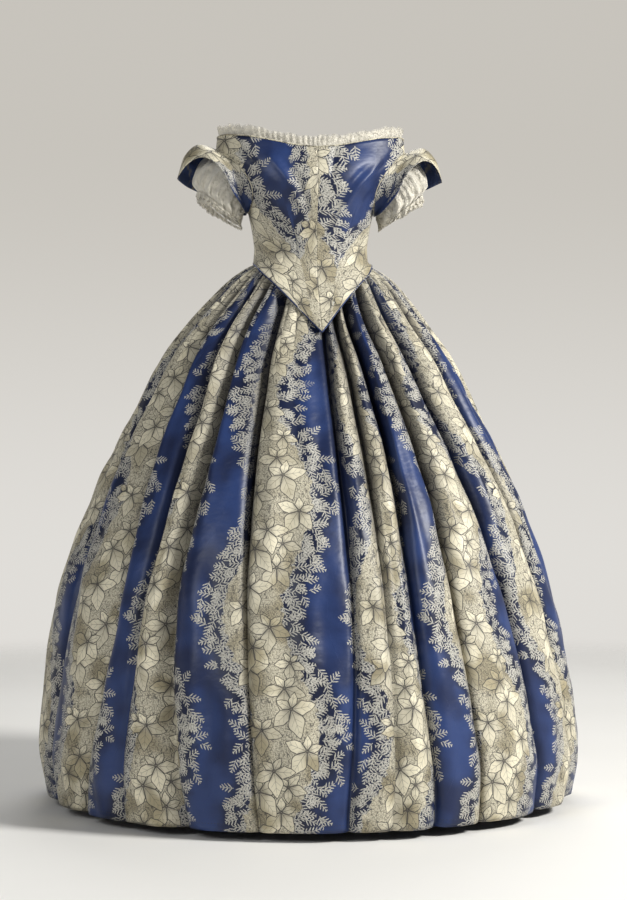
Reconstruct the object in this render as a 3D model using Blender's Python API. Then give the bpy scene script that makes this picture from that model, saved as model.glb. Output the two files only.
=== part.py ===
"""Evening dress of woven silk, as it stands when worn: a pointed bodice that sits off the
shoulders, short cap sleeves over net puffs, and a full pleated skirt. All sizes are in metres.

The origin is the middle of the waist, +Z is up, the dress faces -Y and +X is the wearer's left.
An angle goes round the body in degrees: 0 at the front, +90 at the wearer's left, 180 at the back.
"""

import math
from collections import namedtuple

import bpy
from mathutils import Vector

# Cloth walls and the gaps between pieces.
SILK = 0.0018
BODICE_WALL = 0.0020
NET = 0.0014
SEAM_GAP = 0.0003
REST_GAP = 0.0011

# Where the bodice leaves the figure and starts to lie over the skirt, and the step for its slope.
WAIST_BLEND = 0.03
SLOPE_STEP = 0.004

# The skirt: seven straight breadths of silk, sewn edge to edge and pleated into the bodice's edge.
SKIRT_LENGTH = 1.070
PLEAT_DEPTH = 0.0070
PLEAT_FADE = 0.17

# Half-widths of the skirt over its folds, at each drop below the waist. The right is a bit fuller.
SkirtRow = namedtuple("SkirtRow", "drop right left front back")
SKIRT_ROWS = (
    SkirtRow(0.000, 0.110, 0.110, 0.096, 0.090),
    SkirtRow(0.012, 0.134, 0.134, 0.101, 0.104),
    SkirtRow(0.035, 0.168, 0.169, 0.112, 0.133),
    SkirtRow(0.075, 0.209, 0.205, 0.131, 0.175),
    SkirtRow(0.120, 0.250, 0.240, 0.160, 0.222),
    SkirtRow(0.200, 0.309, 0.295, 0.226, 0.288),
    SkirtRow(0.280, 0.350, 0.337, 0.288, 0.338),
    SkirtRow(0.480, 0.450, 0.433, 0.406, 0.450),
    SkirtRow(0.690, 0.522, 0.500, 0.485, 0.529),
    SkirtRow(0.890, 0.545, 0.537, 0.522, 0.566),
    SkirtRow(0.970, 0.549, 0.545, 0.528, 0.572),
    SkirtRow(1.070, 0.532, 0.531, 0.519, 0.563),
)

# The skirt's large folds, from the centre back round by the wearer's right. Each row is a valley:
# its angle at four drops, its depth at two, and the pleats between it and the next valley.
FOLD_DROPS = (0.0, 0.33, 0.66, 1.07)
FOLD_DEPTH_DROPS = (0.0, 0.05, 0.16, 0.33, 0.66, 1.07)
Fold = namedtuple("Fold", "waist upper lower hem upper_depth lower_depth pleats")
FOLDS = (
    Fold(-180, -180, -180, -180, 0.026, 0.018, 3),
    Fold(-163, -164, -165, -166, 0.034, 0.022, 3),
    Fold(-146, -147, -148, -149, 0.038, 0.026, 3),
    Fold(-129, -129, -130, -131, 0.032, 0.022, 3),
    Fold(-110, -111, -112, -113, 0.036, 0.024, 4),
    Fold(-88, -93, -93, -95, 0.024, 0.018, 3),
    Fold(-70, -76, -73, -79, 0.030, 0.020, 3),
    Fold(-53, -55, -51, -62, 0.036, 0.024, 2),
    Fold(-42, -43, -44, -48, 0.016, 0.004, 2),
    Fold(-32, -34, -37, -33, 0.038, 0.026, 2),
    Fold(-19, -22, -20, -17, 0.016, 0.008, 4),
    Fold(3, 2, 3, 1, 0.010, 0.012, 1),
    Fold(10, 11, 10, 10, 0.022, 0.004, 1),
    Fold(18, 19, 17, 20, 0.030, 0.020, 2),
    Fold(28, 30, 28, 31, 0.036, 0.014, 2),
    Fold(40, 43, 46, 51, 0.034, 0.026, 3),
    Fold(57, 60, 64, 69, 0.022, 0.018, 3),
    Fold(75, 79, 82, 87, 0.028, 0.020, 4),
    Fold(96, 98, 100, 103, 0.026, 0.018, 3),
    Fold(114, 116, 117, 119, 0.036, 0.024, 3),
    Fold(131, 132, 133, 134, 0.032, 0.022, 3),
    Fold(148, 149, 150, 151, 0.038, 0.026, 3),
    Fold(166, 167, 168, 169, 0.032, 0.022, 2),
)
FOLD_ROUNDNESS = 0.8

# The valleys that hold the seams between breadths, and each breadth's name.
BREADTH_SEAMS = (0, 3, 6, 10, 14, 17, 20, 23)
BREADTH_NAMES = (
    "skirt_back_right",
    "skirt_side_back_right",
    "skirt_side_front_right",
    "skirt_front",
    "skirt_side_front_left",
    "skirt_side_back_left",
    "skirt_back_left",
)

# Drops where the skirt's mesh has a row. It has four columns a pleat over the pleats, two below.
PLEATED_DROPS = (0.0, 0.028, 0.070)
PLAIN_DROPS = (0.125, 0.21, 0.32, 0.47, 0.66, 0.87, SKIRT_LENGTH)

# Half-widths of the bodice's inside above the waist, on a general figure.
BodiceRow = namedtuple("BodiceRow", "height side front back")
BODICE_ROWS = (
    BodiceRow(0.000, 0.110, 0.096, 0.090),
    BodiceRow(0.030, 0.113, 0.099, 0.091),
    BodiceRow(0.060, 0.117, 0.104, 0.092),
    BodiceRow(0.090, 0.123, 0.111, 0.094),
    BodiceRow(0.120, 0.131, 0.119, 0.096),
    BodiceRow(0.150, 0.146, 0.123, 0.097),
    BodiceRow(0.175, 0.166, 0.121, 0.097),
    BodiceRow(0.200, 0.184, 0.114, 0.096),
    BodiceRow(0.228, 0.191, 0.102, 0.094),
    BodiceRow(0.260, 0.188, 0.092, 0.091),
)
SHOULDER_SQUARENESS = 0.045
CUP_ANGLE, CUP_HEIGHT, CUP_RISE = 31.0, 0.150, 0.007
CUP_SPREAD_ANGLE, CUP_SPREAD_HEIGHT = 20.0, 0.042

# The bodice's edges: the pointed lower edge and the neckline, as heights at angles from the front.
EdgePoint = namedtuple("EdgePoint", "angle height")
LOWER_EDGE = (
    EdgePoint(0, -0.150),
    EdgePoint(6, -0.119),
    EdgePoint(12, -0.093),
    EdgePoint(20, -0.067),
    EdgePoint(30, -0.044),
    EdgePoint(44, -0.024),
    EdgePoint(60, -0.010),
    EdgePoint(75, -0.003),
    EdgePoint(90, 0.000),
    EdgePoint(120, 0.000),
    EdgePoint(150, -0.004),
    EdgePoint(180, -0.010),
)
NECK_EDGE = (
    EdgePoint(0, 0.224),
    EdgePoint(12, 0.228),
    EdgePoint(25, 0.237),
    EdgePoint(45, 0.249),
    EdgePoint(70, 0.254),
    EdgePoint(90, 0.254),
    EdgePoint(110, 0.250),
    EdgePoint(140, 0.239),
    EdgePoint(180, 0.230),
)

# Each armhole is an egg shape on the bodice's surface.
ARMHOLE_ANGLE, ARMHOLE_HALF_ANGLE = 90.0, 35.0
ARMHOLE_MIDDLE, ARMHOLE_RISE, ARMHOLE_FALL = 0.177, 0.051, 0.075

# The armhole has a corner at every turn of this many degrees, and the bodice a column at each.
ARMHOLE_TURN = 15


def armhole_columns(first, last):
    """Angles of the armhole's corners from one turn to another. Turn 0 is at the shoulder."""
    way = 1 if last > first else -1
    turns = range(first, last + way, way * ARMHOLE_TURN)
    return [ARMHOLE_ANGLE - ARMHOLE_HALF_ANGLE * math.sin(math.radians(turn)) for turn in turns]


# Angles where the bodice's mesh has a column. A seam lies where two lists meet.
FRONT_COLUMNS = (0, 4, 8, 12, 17, 23, 30, 38, 46, ARMHOLE_ANGLE - ARMHOLE_HALF_ANGLE)
FRONT_ARMHOLE_COLUMNS = armhole_columns(90, 45)
SHOULDER_FRONT_COLUMNS = armhole_columns(45, 0)
SIDE_COLUMNS = armhole_columns(45, -30)
SHOULDER_BACK_COLUMNS = armhole_columns(0, -30)
BACK_ARMHOLE_COLUMNS = armhole_columns(-30, -90)
BACK_COLUMNS = (ARMHOLE_ANGLE + ARMHOLE_HALF_ANGLE, 134, 143, 152, 161, 171, 180)
SIDE_FRONT_SEAM, SIDE_BACK_SEAM, SHOULDER_SEAM = SIDE_COLUMNS[0], SIDE_COLUMNS[-1], ARMHOLE_ANGLE
LOWER_ROWS, UPPER_ROWS = 8, 3

# Sleeve rings below the armhole: inner and outer points across the arm, and half-depth fore and aft.
SleeveRow = namedtuple("SleeveRow", "along inner_x inner_z outer_x outer_z depth")
PUFF_ROWS = (
    SleeveRow(0.00, 0.1300, 0.1020, 0.1900, 0.2280, 0.054),
    SleeveRow(0.25, 0.1350, 0.1010, 0.2130, 0.2140, 0.059),
    SleeveRow(0.50, 0.1385, 0.0940, 0.2330, 0.1900, 0.066),
    SleeveRow(0.75, 0.1405, 0.0840, 0.2410, 0.1640, 0.066),
    SleeveRow(1.00, 0.1430, 0.0740, 0.2280, 0.1420, 0.053),
)
CAP_ROWS = (
    SleeveRow(0.00, 0.1300, 0.1020, 0.1900, 0.2280, 0.058),
    SleeveRow(0.35, 0.1315, 0.0970, 0.2250, 0.2380, 0.080),
    SleeveRow(0.70, 0.1335, 0.0880, 0.2540, 0.2120, 0.094),
    SleeveRow(1.00, 0.1345, 0.0810, 0.2660, 0.1650, 0.099),
)
FRILL_ROWS = (
    SleeveRow(0.00, 0.1433, 0.0728, 0.2283, 0.1408, 0.0525),
    SleeveRow(1.00, 0.1270, 0.0530, 0.2370, 0.1200, 0.0630),
)
ARMHOLE_BLEND = 0.35
PUFF_INSET, CAP_INSET = 0.0040, 0.0010
PUFF_STEPS, PUFF_RINGS, PUFF_GATHERS, PUFF_GATHER_DEPTH = 48, 4, 12, 0.0030
CAP_STEPS, CAP_RINGS, CAP_FLUTES, CAP_FLUTE_DEPTH = 48, 3, 5, 0.0090
FRILL_STEPS, FRILL_WAVES, FRILL_WAVE_DEPTH = 72, 18, 0.0050
CAP_LENGTH = (
    EdgePoint(0, 1.00),
    EdgePoint(25, 0.80),
    EdgePoint(55, 0.50),
    EdgePoint(85, 0.38),
    EdgePoint(120, 0.52),
    EdgePoint(150, 0.50),
    EdgePoint(180, 0.34),
    EdgePoint(220, 0.50),
    EdgePoint(270, 0.80),
    EdgePoint(320, 0.96),
    EdgePoint(360, 1.00),
)

# The net frill that stands up inside the neckline.
NECK_FRILL_WAVES, NECK_FRILL_STEPS, NECK_FRILL_OFFSET = 36, 108, 0.0010
NeckFrillRow = namedtuple("NeckFrillRow", "rise inset depth")
NECK_FRILL_ROWS = (
    NeckFrillRow(-0.010, 0.0032, 0.0020),
    NeckFrillRow(0.001, 0.0030, 0.0028),
    NeckFrillRow(0.019, -0.0020, 0.0045),
)

# Colours of the cloths: the silk's mean of blue ground and cream figure, and the net.
SILK_COLOUR = (0.46, 0.45, 0.40)
NET_COLOUR = (0.80, 0.77, 0.70)


class Curve:
    """A smooth curve through a table's values that never overshoots between two rows."""

    def __init__(self, places, values):
        self.places = list(places)
        self.values = list(values)
        gaps = [b - a for a, b in zip(self.places, self.places[1:])]
        rises = [(b - a) / g for a, b, g in zip(self.values, self.values[1:], gaps)]
        self.slopes = [rises[0]]
        for left, right in zip(rises, rises[1:]):
            flat = left * right <= 0
            self.slopes.append(0.0 if flat else 2 * left * right / (left + right))
        self.slopes.append(rises[-1])

    def __call__(self, place):
        place = min(max(place, self.places[0]), self.places[-1])
        i = 0
        while i < len(self.places) - 2 and place > self.places[i + 1]:
            i += 1
        width = self.places[i + 1] - self.places[i]
        t = (place - self.places[i]) / width
        start, end = self.values[i], self.values[i + 1]
        return (
            start * (1 + 2 * t) * (1 - t) ** 2
            + end * t * t * (3 - 2 * t)
            + self.slopes[i] * width * t * (1 - t) ** 2
            - self.slopes[i + 1] * width * t * t * (1 - t)
        )


def columns(rows):
    """A table's columns as curves over its first column."""
    places = [row[0] for row in rows]
    return [Curve(places, [row[i] for row in rows]) for i in range(1, len(rows[0]))]


skirt_right, skirt_left, skirt_front, skirt_back = columns(SKIRT_ROWS)
bodice_side, bodice_front, bodice_back = columns(BODICE_ROWS)
(lower_edge,) = columns(LOWER_EDGE)
(neck_edge,) = columns(NECK_EDGE)
(cap_length,) = columns(CAP_LENGTH)


def wrapped(angle):
    """The same direction as an angle from -180 to 180."""
    return (angle + 180.0) % 360.0 - 180.0


def oval(angle, side, front, back):
    """(x, y) on an oval whose front and back halves have their own depth."""
    a = math.radians(angle)
    depth = front if math.cos(a) > 0 else back
    return side * math.sin(a), -depth * math.cos(a)


def skirt_outline(angle, drop):
    """(x, y) over the skirt's folds."""
    side = skirt_left(drop) if wrapped(angle) > 0 else skirt_right(drop)
    return oval(angle, side, skirt_front(drop), skirt_back(drop))


fold_angles = [Curve(FOLD_DROPS, fold[:4]) for fold in FOLDS]
fold_depths = [
    Curve(
        FOLD_DEPTH_DROPS,
        (0.0, 0.2 * f.upper_depth, 0.8 * f.upper_depth, f.upper_depth, f.lower_depth, 0.8 * f.lower_depth),
    )
    for f in FOLDS
]


def valley(number, drop):
    """A valley's angle and depth. Numbers go on past the last one into the next turn."""
    turn, number = divmod(number, len(FOLDS))
    return fold_angles[number](drop) + 360.0 * turn, fold_depths[number](drop)


def pleat_depth(place, drop):
    """How far the pleats at the waist take the cloth inwards."""
    fold = math.floor(place)
    pleats = FOLDS[fold % len(FOLDS)].pleats
    wave = 0.5 + 0.5 * math.cos(2 * math.pi * pleats * (place - fold))
    return PLEAT_DEPTH * max(0.0, 1.0 - drop / PLEAT_FADE) * wave


def skirt_point(place, height):
    """The skirt's outer surface. Place counts valleys from the centre back, and parts between them."""
    drop = -height
    fold = math.floor(place)
    share = place - fold
    (low, low_depth), (high, high_depth) = valley(fold, drop), valley(fold + 1, drop)
    angle = low + (high - low) * share
    depth = low_depth + (high_depth - low_depth) * share
    inwards = depth * (1.0 - math.sin(math.pi * share) ** FOLD_ROUNDNESS) + pleat_depth(place, drop)
    x, y = skirt_outline(angle, drop)
    scale = 1.0 - inwards / math.hypot(x, y)
    return Vector((x * scale, y * scale, height))


def cup_rise(angle, height):
    """The fullness that the darts and seams give the front over the bust."""
    across = (abs(wrapped(angle)) - CUP_ANGLE) / CUP_SPREAD_ANGLE
    up = (height - CUP_HEIGHT) / CUP_SPREAD_HEIGHT
    return CUP_RISE * math.exp(-across * across - up * up)


def bodice_inside(angle, height):
    """(x, y) inside the bodice: the figure above the waist and the skirt's outline below it."""
    if height < 0:
        return skirt_outline(angle, -height)
    x, y = oval(angle, bodice_side(height), bodice_front(height), bodice_back(height))
    squareness = SHOULDER_SQUARENESS * min(1.0, height / BODICE_ROWS[-1].height)
    share = 1.0 + squareness * math.sin(2 * math.radians(angle)) ** 2
    share += cup_rise(angle, height) / math.hypot(x, y)
    return x * share, y * share


def bodice_clearance(angle, height):
    """How far out the bodice's outer face lies, so that the wall clears a sloping skirt."""
    drop = max(-height, 0.0)
    here = math.hypot(*skirt_outline(angle, drop))
    below = math.hypot(*skirt_outline(angle, drop + SLOPE_STEP))
    slope = (below - here) / SLOPE_STEP
    over_skirt = (BODICE_WALL + REST_GAP) * math.sqrt(1.0 + slope * slope)
    fade = min(1.0, max(0.0, height / WAIST_BLEND))
    return over_skirt * (1.0 - fade) + BODICE_WALL * fade


def bodice_point(angle, height):
    """The bodice's outer surface."""
    x, y = bodice_inside(angle, height)
    share = 1.0 + bodice_clearance(angle, height) / math.hypot(x, y)
    return Vector((x * share, y * share, height))


def armhole_share(angle):
    """1 at the armhole's middle angle and 0 at its ends."""
    q = (abs(wrapped(angle)) - ARMHOLE_ANGLE) / ARMHOLE_HALF_ANGLE
    return math.sqrt(max(0.0, 1.0 - q * q))


def lower_rows(angle):
    """Heights of the bodice's rows from its lower edge to the armhole's bottom."""
    low = lower_edge(abs(angle))
    high = ARMHOLE_MIDDLE - ARMHOLE_FALL * armhole_share(angle)
    return [low + (high - low) * i / LOWER_ROWS for i in range(LOWER_ROWS + 1)]


def upper_rows(angle):
    """Heights of the bodice's rows from the armhole's top to the neckline."""
    low = ARMHOLE_MIDDLE + ARMHOLE_RISE * armhole_share(angle)
    high = neck_edge(abs(angle))
    return [low + (high - low) * i / UPPER_ROWS for i in range(UPPER_ROWS + 1)]


def armhole_corner(turn, side):
    a = math.radians(turn)
    angle = ARMHOLE_ANGLE - ARMHOLE_HALF_ANGLE * math.sin(a)
    reach = ARMHOLE_RISE if math.cos(a) > 0 else ARMHOLE_FALL
    return bodice_point(side * angle, ARMHOLE_MIDDLE + reach * math.cos(a))


def armhole_edge(turn, side, inset):
    """A point on an armhole's edge, moved in towards its middle. Turn 0 is at the shoulder."""
    first = math.floor(turn / ARMHOLE_TURN) * ARMHOLE_TURN
    share = (turn - first) / ARMHOLE_TURN
    edge = armhole_corner(first, side).lerp(armhole_corner(first + ARMHOLE_TURN, side), share)
    middle = bodice_point(side * ARMHOLE_ANGLE, ARMHOLE_MIDDLE)
    return edge + (middle - edge).normalized() * inset


def sleeve_ring(table, along, turn, side):
    """A point on a sleeve's ring. Turn 0 is the outer side of the arm, 90 its front, 180 the body side."""
    inner_x, inner_z, outer_x, outer_z, depth = (curve(along) for curve in table)
    a = math.radians(turn)
    across = 0.5 + 0.5 * math.cos(a)
    x = inner_x + (outer_x - inner_x) * across
    z = inner_z + (outer_z - inner_z) * across
    return Vector((side * x, -depth * math.sin(a), z))


def sleeve_point(table, along, turn, side, inset):
    """A sleeve's outer surface, which starts at the armhole's edge and becomes plain rings."""
    ring = sleeve_ring(table, along, turn, side)
    share = 1.0 - max(0.0, 1.0 - along / ARMHOLE_BLEND) ** 2
    return armhole_edge(turn, side, inset).lerp(ring, share)


puff_table, cap_table, frill_table = columns(PUFF_ROWS), columns(CAP_ROWS), columns(FRILL_ROWS)


def moved_in(point, table, along, turn, side, inwards):
    """A point moved towards the middle of its sleeve ring."""
    near = sleeve_ring(table, along, turn, side)
    far = sleeve_ring(table, along, turn + 180, side)
    middle = (near + far) / 2
    return point + (middle - point).normalized() * inwards


def puff_point(side):
    def point(turn, height):
        along = 1.0 - height
        start = sleeve_point(puff_table, along, turn, side, PUFF_INSET)
        gather = 0.5 + 0.5 * math.cos(math.radians(turn) * PUFF_GATHERS)
        inwards = PUFF_GATHER_DEPTH * gather * min(1.0, along * 2)
        return moved_in(start, puff_table, along, turn, side, inwards)

    return point


def cap_point(side):
    def point(turn, height):
        along = (1.0 - height) * cap_length(turn % 360)
        start = sleeve_point(cap_table, along, turn, side, CAP_INSET)
        flute = 0.5 + 0.5 * math.cos(math.radians(turn) * CAP_FLUTES)
        outwards = CAP_FLUTE_DEPTH * flute * max(0.0, along - 0.2)
        return moved_in(start, cap_table, along, turn, side, -outwards)

    return point


def frill_point(side):
    def point(turn, height):
        along = 1.0 - height
        start = sleeve_ring(frill_table, along, turn, side)
        wave = 0.5 + 0.5 * math.cos(math.radians(turn) * FRILL_WAVES)
        inwards = FRILL_WAVE_DEPTH * wave * (0.4 + 0.6 * along)
        return moved_in(start, frill_table, along, turn, side, inwards)

    return point


neck_inset, neck_depth = columns([(i, row.inset, row.depth) for i, row in enumerate(NECK_FRILL_ROWS)])
(neck_rise,) = columns([(i, row.rise) for i, row in enumerate(NECK_FRILL_ROWS)])


def neck_frill_point(angle, row):
    """The neck frill's outer surface: it stands inside the neckline and leans out over it."""
    height = neck_edge(abs(wrapped(angle))) + neck_rise(row)
    edge = bodice_point(angle, min(height, neck_edge(abs(wrapped(angle)))))
    wave = 0.5 + 0.5 * math.cos(math.radians(angle) * NECK_FRILL_WAVES)
    inwards = BODICE_WALL - NECK_FRILL_OFFSET + neck_inset(row) + neck_depth(row) * wave
    share = 1.0 - inwards / math.hypot(edge.x, edge.y)
    return Vector((edge.x * share, edge.y * share, height))


def grid(u_values, v_values):
    """Four-sided cells between neighbouring values."""
    return [
        ((u0, v0), (u1, v0), (u1, v1), (u0, v1))
        for u0, u1 in zip(u_values, u_values[1:])
        for v0, v1 in zip(v_values, v_values[1:])
    ]


def steps(low, high, count):
    return [low + (high - low) * i / count for i in range(count + 1)]


def ruled_cells(angles, rows_at):
    """Cells between angles whose rows have their own heights at each angle."""
    cells = []
    for a, b in zip(angles, angles[1:]):
        left, right = rows_at(a), rows_at(b)
        for i in range(len(left) - 1):
            cells.append(((a, left[i]), (b, right[i]), (b, right[i + 1]), (a, left[i + 1])))
    return cells


def without_repeats(cell):
    """A cell's corners, one of each: a cell at the armhole's end has three."""
    kept = []
    for corner in cell:
        if all(math.dist(corner, other) > 1e-6 for other in kept):
            kept.append(corner)
    return kept


def halves(face, points):
    """A cell as two triangles, cut along its shorter diagonal, so that both faces of a wall match."""
    if len(face) == 3:
        return [face]
    a, b, c, d = face
    if (points[a] - points[c]).length <= (points[b] - points[d]).length:
        return [[a, b, c], [a, c, d]]
    return [[a, b, d], [b, c, d]]


def material(name, colour, roughness):
    made = bpy.data.materials.new(name)
    made.use_nodes = True
    shader = made.node_tree.nodes["Principled BSDF"]
    shader.inputs["Base Color"].default_value = (*colour, 1.0)
    shader.inputs["Roughness"].default_value = roughness
    shader.inputs["Metallic"].default_value = 0.0
    return made


def cloth(name, cells, surface, thickness, finish, seams=(), flipped=False, step_u=0.02):
    """One closed piece of cloth. Its outer face is the surface over the cells, its inner face lies
    a wall's thickness inside, and seams are the first parameters at its left and right edges, where
    the piece stops half a gap short."""
    index, outer, inner = {}, [], []

    def corner(u, v):
        key = (round(u, 6), round(v, 6))
        if key not in index:
            step_v = 0.0002
            point = surface(u, v)
            along_u = surface(u + step_u, v) - surface(u - step_u, v)
            along_v = surface(u, v + step_v) - surface(u, v - step_v)
            normal = along_u.cross(along_v).normalized() * (-1 if flipped else 1)
            for seam, way in zip(seams, (1, -1)):
                if abs(u - seam) < 1e-6:
                    point = point + along_u.normalized() * way * SEAM_GAP / 2
            index[key] = len(outer)
            outer.append(point)
            inner.append(point - normal * thickness)
        return index[key]

    faces = []
    for cell in cells:
        face = [corner(u, v) for u, v in without_repeats(cell)]
        faces += halves(face[::-1] if flipped else face, outer)
    count = len(outer)
    edges = {(f[i], f[(i + 1) % len(f)]) for f in faces for i in range(len(f))}
    rim = [[b, a, a + count, b + count] for a, b in sorted(edges) if (b, a) not in edges]
    lining = [[i + count for i in reversed(f)] for f in faces]
    mesh = bpy.data.meshes.new(name)
    mesh.from_pydata([*outer, *inner], [], faces + lining + rim)
    mesh.materials.append(finish)
    mesh.shade_smooth()
    mesh.set_sharp_from_angle(angle=math.radians(50))
    piece = bpy.data.objects.new(name, mesh)
    bpy.context.collection.objects.link(piece)
    return piece


def mirrored(angles):
    return [-angle for angle in reversed(angles)]


def breadth_cells(first, last):
    """A breadth's cells: fine over the pleats, and half as many columns below them."""
    fine = []
    for fold in range(first, last):
        pleats = FOLDS[fold].pleats
        fine += steps(fold, fold + 1, 4 * pleats)[:-1]
    fine.append(float(last))
    coarse = fine[::2]
    cells = grid(fine, [-drop for drop in reversed(PLEATED_DROPS)])
    cells += grid(coarse, [-drop for drop in reversed(PLAIN_DROPS)])
    top, bottom = -PLEATED_DROPS[-1], -PLAIN_DROPS[0]
    for a, middle, b in zip(fine[::2], fine[1::2], fine[2::2]):
        cells.append(((a, bottom), (middle, top), (a, top)))
        cells.append(((a, bottom), (b, bottom), (middle, top)))
        cells.append(((b, bottom), (b, top), (middle, top)))
    return cells


def make_skirt(silk):
    for name, first, last in zip(BREADTH_NAMES, BREADTH_SEAMS, BREADTH_SEAMS[1:]):
        cells = breadth_cells(first, last)
        cloth(name, cells, skirt_point, SILK, silk, (first, last), step_u=0.002)


def make_bodice(silk):
    """Front, side and back panels. Each front and back reaches over the shoulder as a strap."""
    for side, word in ((1, "left"), (-1, "right")):

        def placed(angles, turn=side):
            return list(angles) if turn > 0 else mirrored(angles)

        front = ruled_cells(placed(FRONT_COLUMNS), lower_rows)
        front += ruled_cells(placed(FRONT_COLUMNS), upper_rows)
        front += ruled_cells(placed(FRONT_ARMHOLE_COLUMNS), lower_rows)
        front += ruled_cells(placed(FRONT_ARMHOLE_COLUMNS), upper_rows)
        front += ruled_cells(placed(SHOULDER_FRONT_COLUMNS), upper_rows)
        under = ruled_cells(placed(SIDE_COLUMNS), lower_rows)
        back = ruled_cells(placed(BACK_COLUMNS), lower_rows)
        back += ruled_cells(placed(BACK_COLUMNS), upper_rows)
        back += ruled_cells(placed(BACK_ARMHOLE_COLUMNS), lower_rows)
        back += ruled_cells(placed(BACK_ARMHOLE_COLUMNS), upper_rows)
        back += ruled_cells(placed(SHOULDER_BACK_COLUMNS), upper_rows)
        for name, cells, inner_seam, outer_seams in (
            ("bodice_front_", front, 0.0, (SIDE_FRONT_SEAM, SHOULDER_SEAM)),
            ("bodice_side_", under, SIDE_FRONT_SEAM, (SIDE_BACK_SEAM,)),
            ("bodice_back_", back, 180.0, (SIDE_BACK_SEAM, SHOULDER_SEAM)),
        ):
            bodice_panel(name + word, cells, silk, side, inner_seam, outer_seams)


def bodice_panel(name, cells, silk, side, inner_seam, outer_seams):
    """A panel that stops half a gap short of each seam, along the surface."""
    away_from_front = 1 if inner_seam < outer_seams[0] else -1

    def trimmed(angle, height):
        size = abs(angle)
        point = bodice_point(angle, height)
        step = 0.02 * side
        outwards = (bodice_point(angle + step, height) - bodice_point(angle - step, height)).normalized()
        if abs(size - inner_seam) < 1e-6:
            return point + outwards * away_from_front * SEAM_GAP / 2
        strap = abs(size - SHOULDER_SEAM) < 1e-6 and len(outer_seams) > 1
        edge_below = abs(size - outer_seams[0]) < 1e-6 and height < ARMHOLE_MIDDLE
        if strap or edge_below:
            return point - outwards * away_from_front * SEAM_GAP / 2
        return point

    cloth(name, cells, trimmed, BODICE_WALL, silk)


def make_sleeves(silk, net):
    for side, word in ((1, "left"), (-1, "right")):
        flipped = side > 0
        puff = grid(steps(0, 360, PUFF_STEPS), steps(0, 1, PUFF_RINGS))
        cap = grid(steps(0, 360, CAP_STEPS), steps(0, 1, CAP_RINGS))
        frill = grid(steps(0, 360, FRILL_STEPS), steps(0, 1, 1))
        cloth("sleeve_puff_" + word, closed_ring(puff), puff_point(side), NET, net, flipped=flipped)
        cloth("sleeve_cap_" + word, closed_ring(cap), cap_point(side), SILK, silk, flipped=flipped)
        cloth("sleeve_frill_" + word, closed_ring(frill), frill_point(side), NET, net, flipped=flipped)


def closed_ring(cells):
    """Cells round a full turn, with the last column's end joined to the first."""
    return [tuple((u % 360.0, v) for u, v in cell) for cell in cells]


def make_neck_frill(net):
    ends = (-180.0, 180.0)
    cells = grid(steps(*ends, NECK_FRILL_STEPS), range(len(NECK_FRILL_ROWS)))
    cloth("neck_frill", cells, neck_frill_point, NET, net, ends)


def main():
    for old in list(bpy.data.objects):
        bpy.data.objects.remove(old)
    silk = material("figured_silk", SILK_COLOUR, 0.45)
    net = material("silk_net", NET_COLOUR, 0.8)
    make_skirt(silk)
    make_bodice(silk)
    make_sleeves(silk, net)
    make_neck_frill(net)


main()
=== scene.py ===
"""The evening dress's looks: brocaded silk in leafy columns on a blue ground, with net at the
sleeves and neckline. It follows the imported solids, in metres: +Z up, the dress faces -Y, +X is the
wearer's left, and the origin is the middle of the waist. An angle goes round the body in degrees,
0 in front.
"""

import math
from collections import namedtuple
from itertools import product

import bpy
import numpy as np
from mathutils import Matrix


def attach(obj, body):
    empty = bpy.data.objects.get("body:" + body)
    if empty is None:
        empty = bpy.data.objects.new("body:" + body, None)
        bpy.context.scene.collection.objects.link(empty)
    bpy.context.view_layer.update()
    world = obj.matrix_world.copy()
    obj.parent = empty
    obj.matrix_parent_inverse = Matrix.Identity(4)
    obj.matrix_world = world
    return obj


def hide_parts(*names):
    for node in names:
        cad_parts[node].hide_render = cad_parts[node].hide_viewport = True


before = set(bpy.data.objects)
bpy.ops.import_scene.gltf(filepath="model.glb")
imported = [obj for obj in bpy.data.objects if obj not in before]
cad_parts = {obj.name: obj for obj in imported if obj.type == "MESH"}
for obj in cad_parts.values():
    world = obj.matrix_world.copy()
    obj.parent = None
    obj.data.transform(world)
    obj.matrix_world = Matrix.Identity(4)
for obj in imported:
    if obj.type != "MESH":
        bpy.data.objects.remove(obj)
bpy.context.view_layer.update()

SEED = 1857
SIDES = ((1, "left"), (-1, "right"))
TURN = 2 * math.pi


def table(columns, *rows):
    """A table's rows, with its columns named."""
    row = namedtuple("Row", columns)
    return [row(*values) for values in rows]


# Cloth thicknesses, and the bodice's wall and its gap to the skirt on the solids.
SILK = 0.0012
BODICE_WALL = 0.0016
NET = 0.0007
SOLID_WALL, REST_GAP, REST_FADE, SLOPE_STEP = 0.0020, 0.0011, 0.03, 0.004

# The skirt's half-widths over its folds, at each drop below the waist.
SKIRT_LENGTH = 1.070
SKIRT_ROWS = table(
    "drop right left front back",
    (0.000, 0.110, 0.110, 0.096, 0.090),
    (0.012, 0.134, 0.134, 0.101, 0.104),
    (0.035, 0.168, 0.169, 0.112, 0.133),
    (0.075, 0.209, 0.205, 0.131, 0.175),
    (0.120, 0.250, 0.240, 0.160, 0.222),
    (0.200, 0.309, 0.295, 0.226, 0.288),
    (0.280, 0.350, 0.337, 0.288, 0.338),
    (0.480, 0.450, 0.433, 0.406, 0.450),
    (0.690, 0.522, 0.500, 0.485, 0.529),
    (0.890, 0.545, 0.537, 0.522, 0.566),
    (0.970, 0.549, 0.545, 0.528, 0.572),
    (1.070, 0.532, 0.531, 0.519, 0.563),
)

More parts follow.
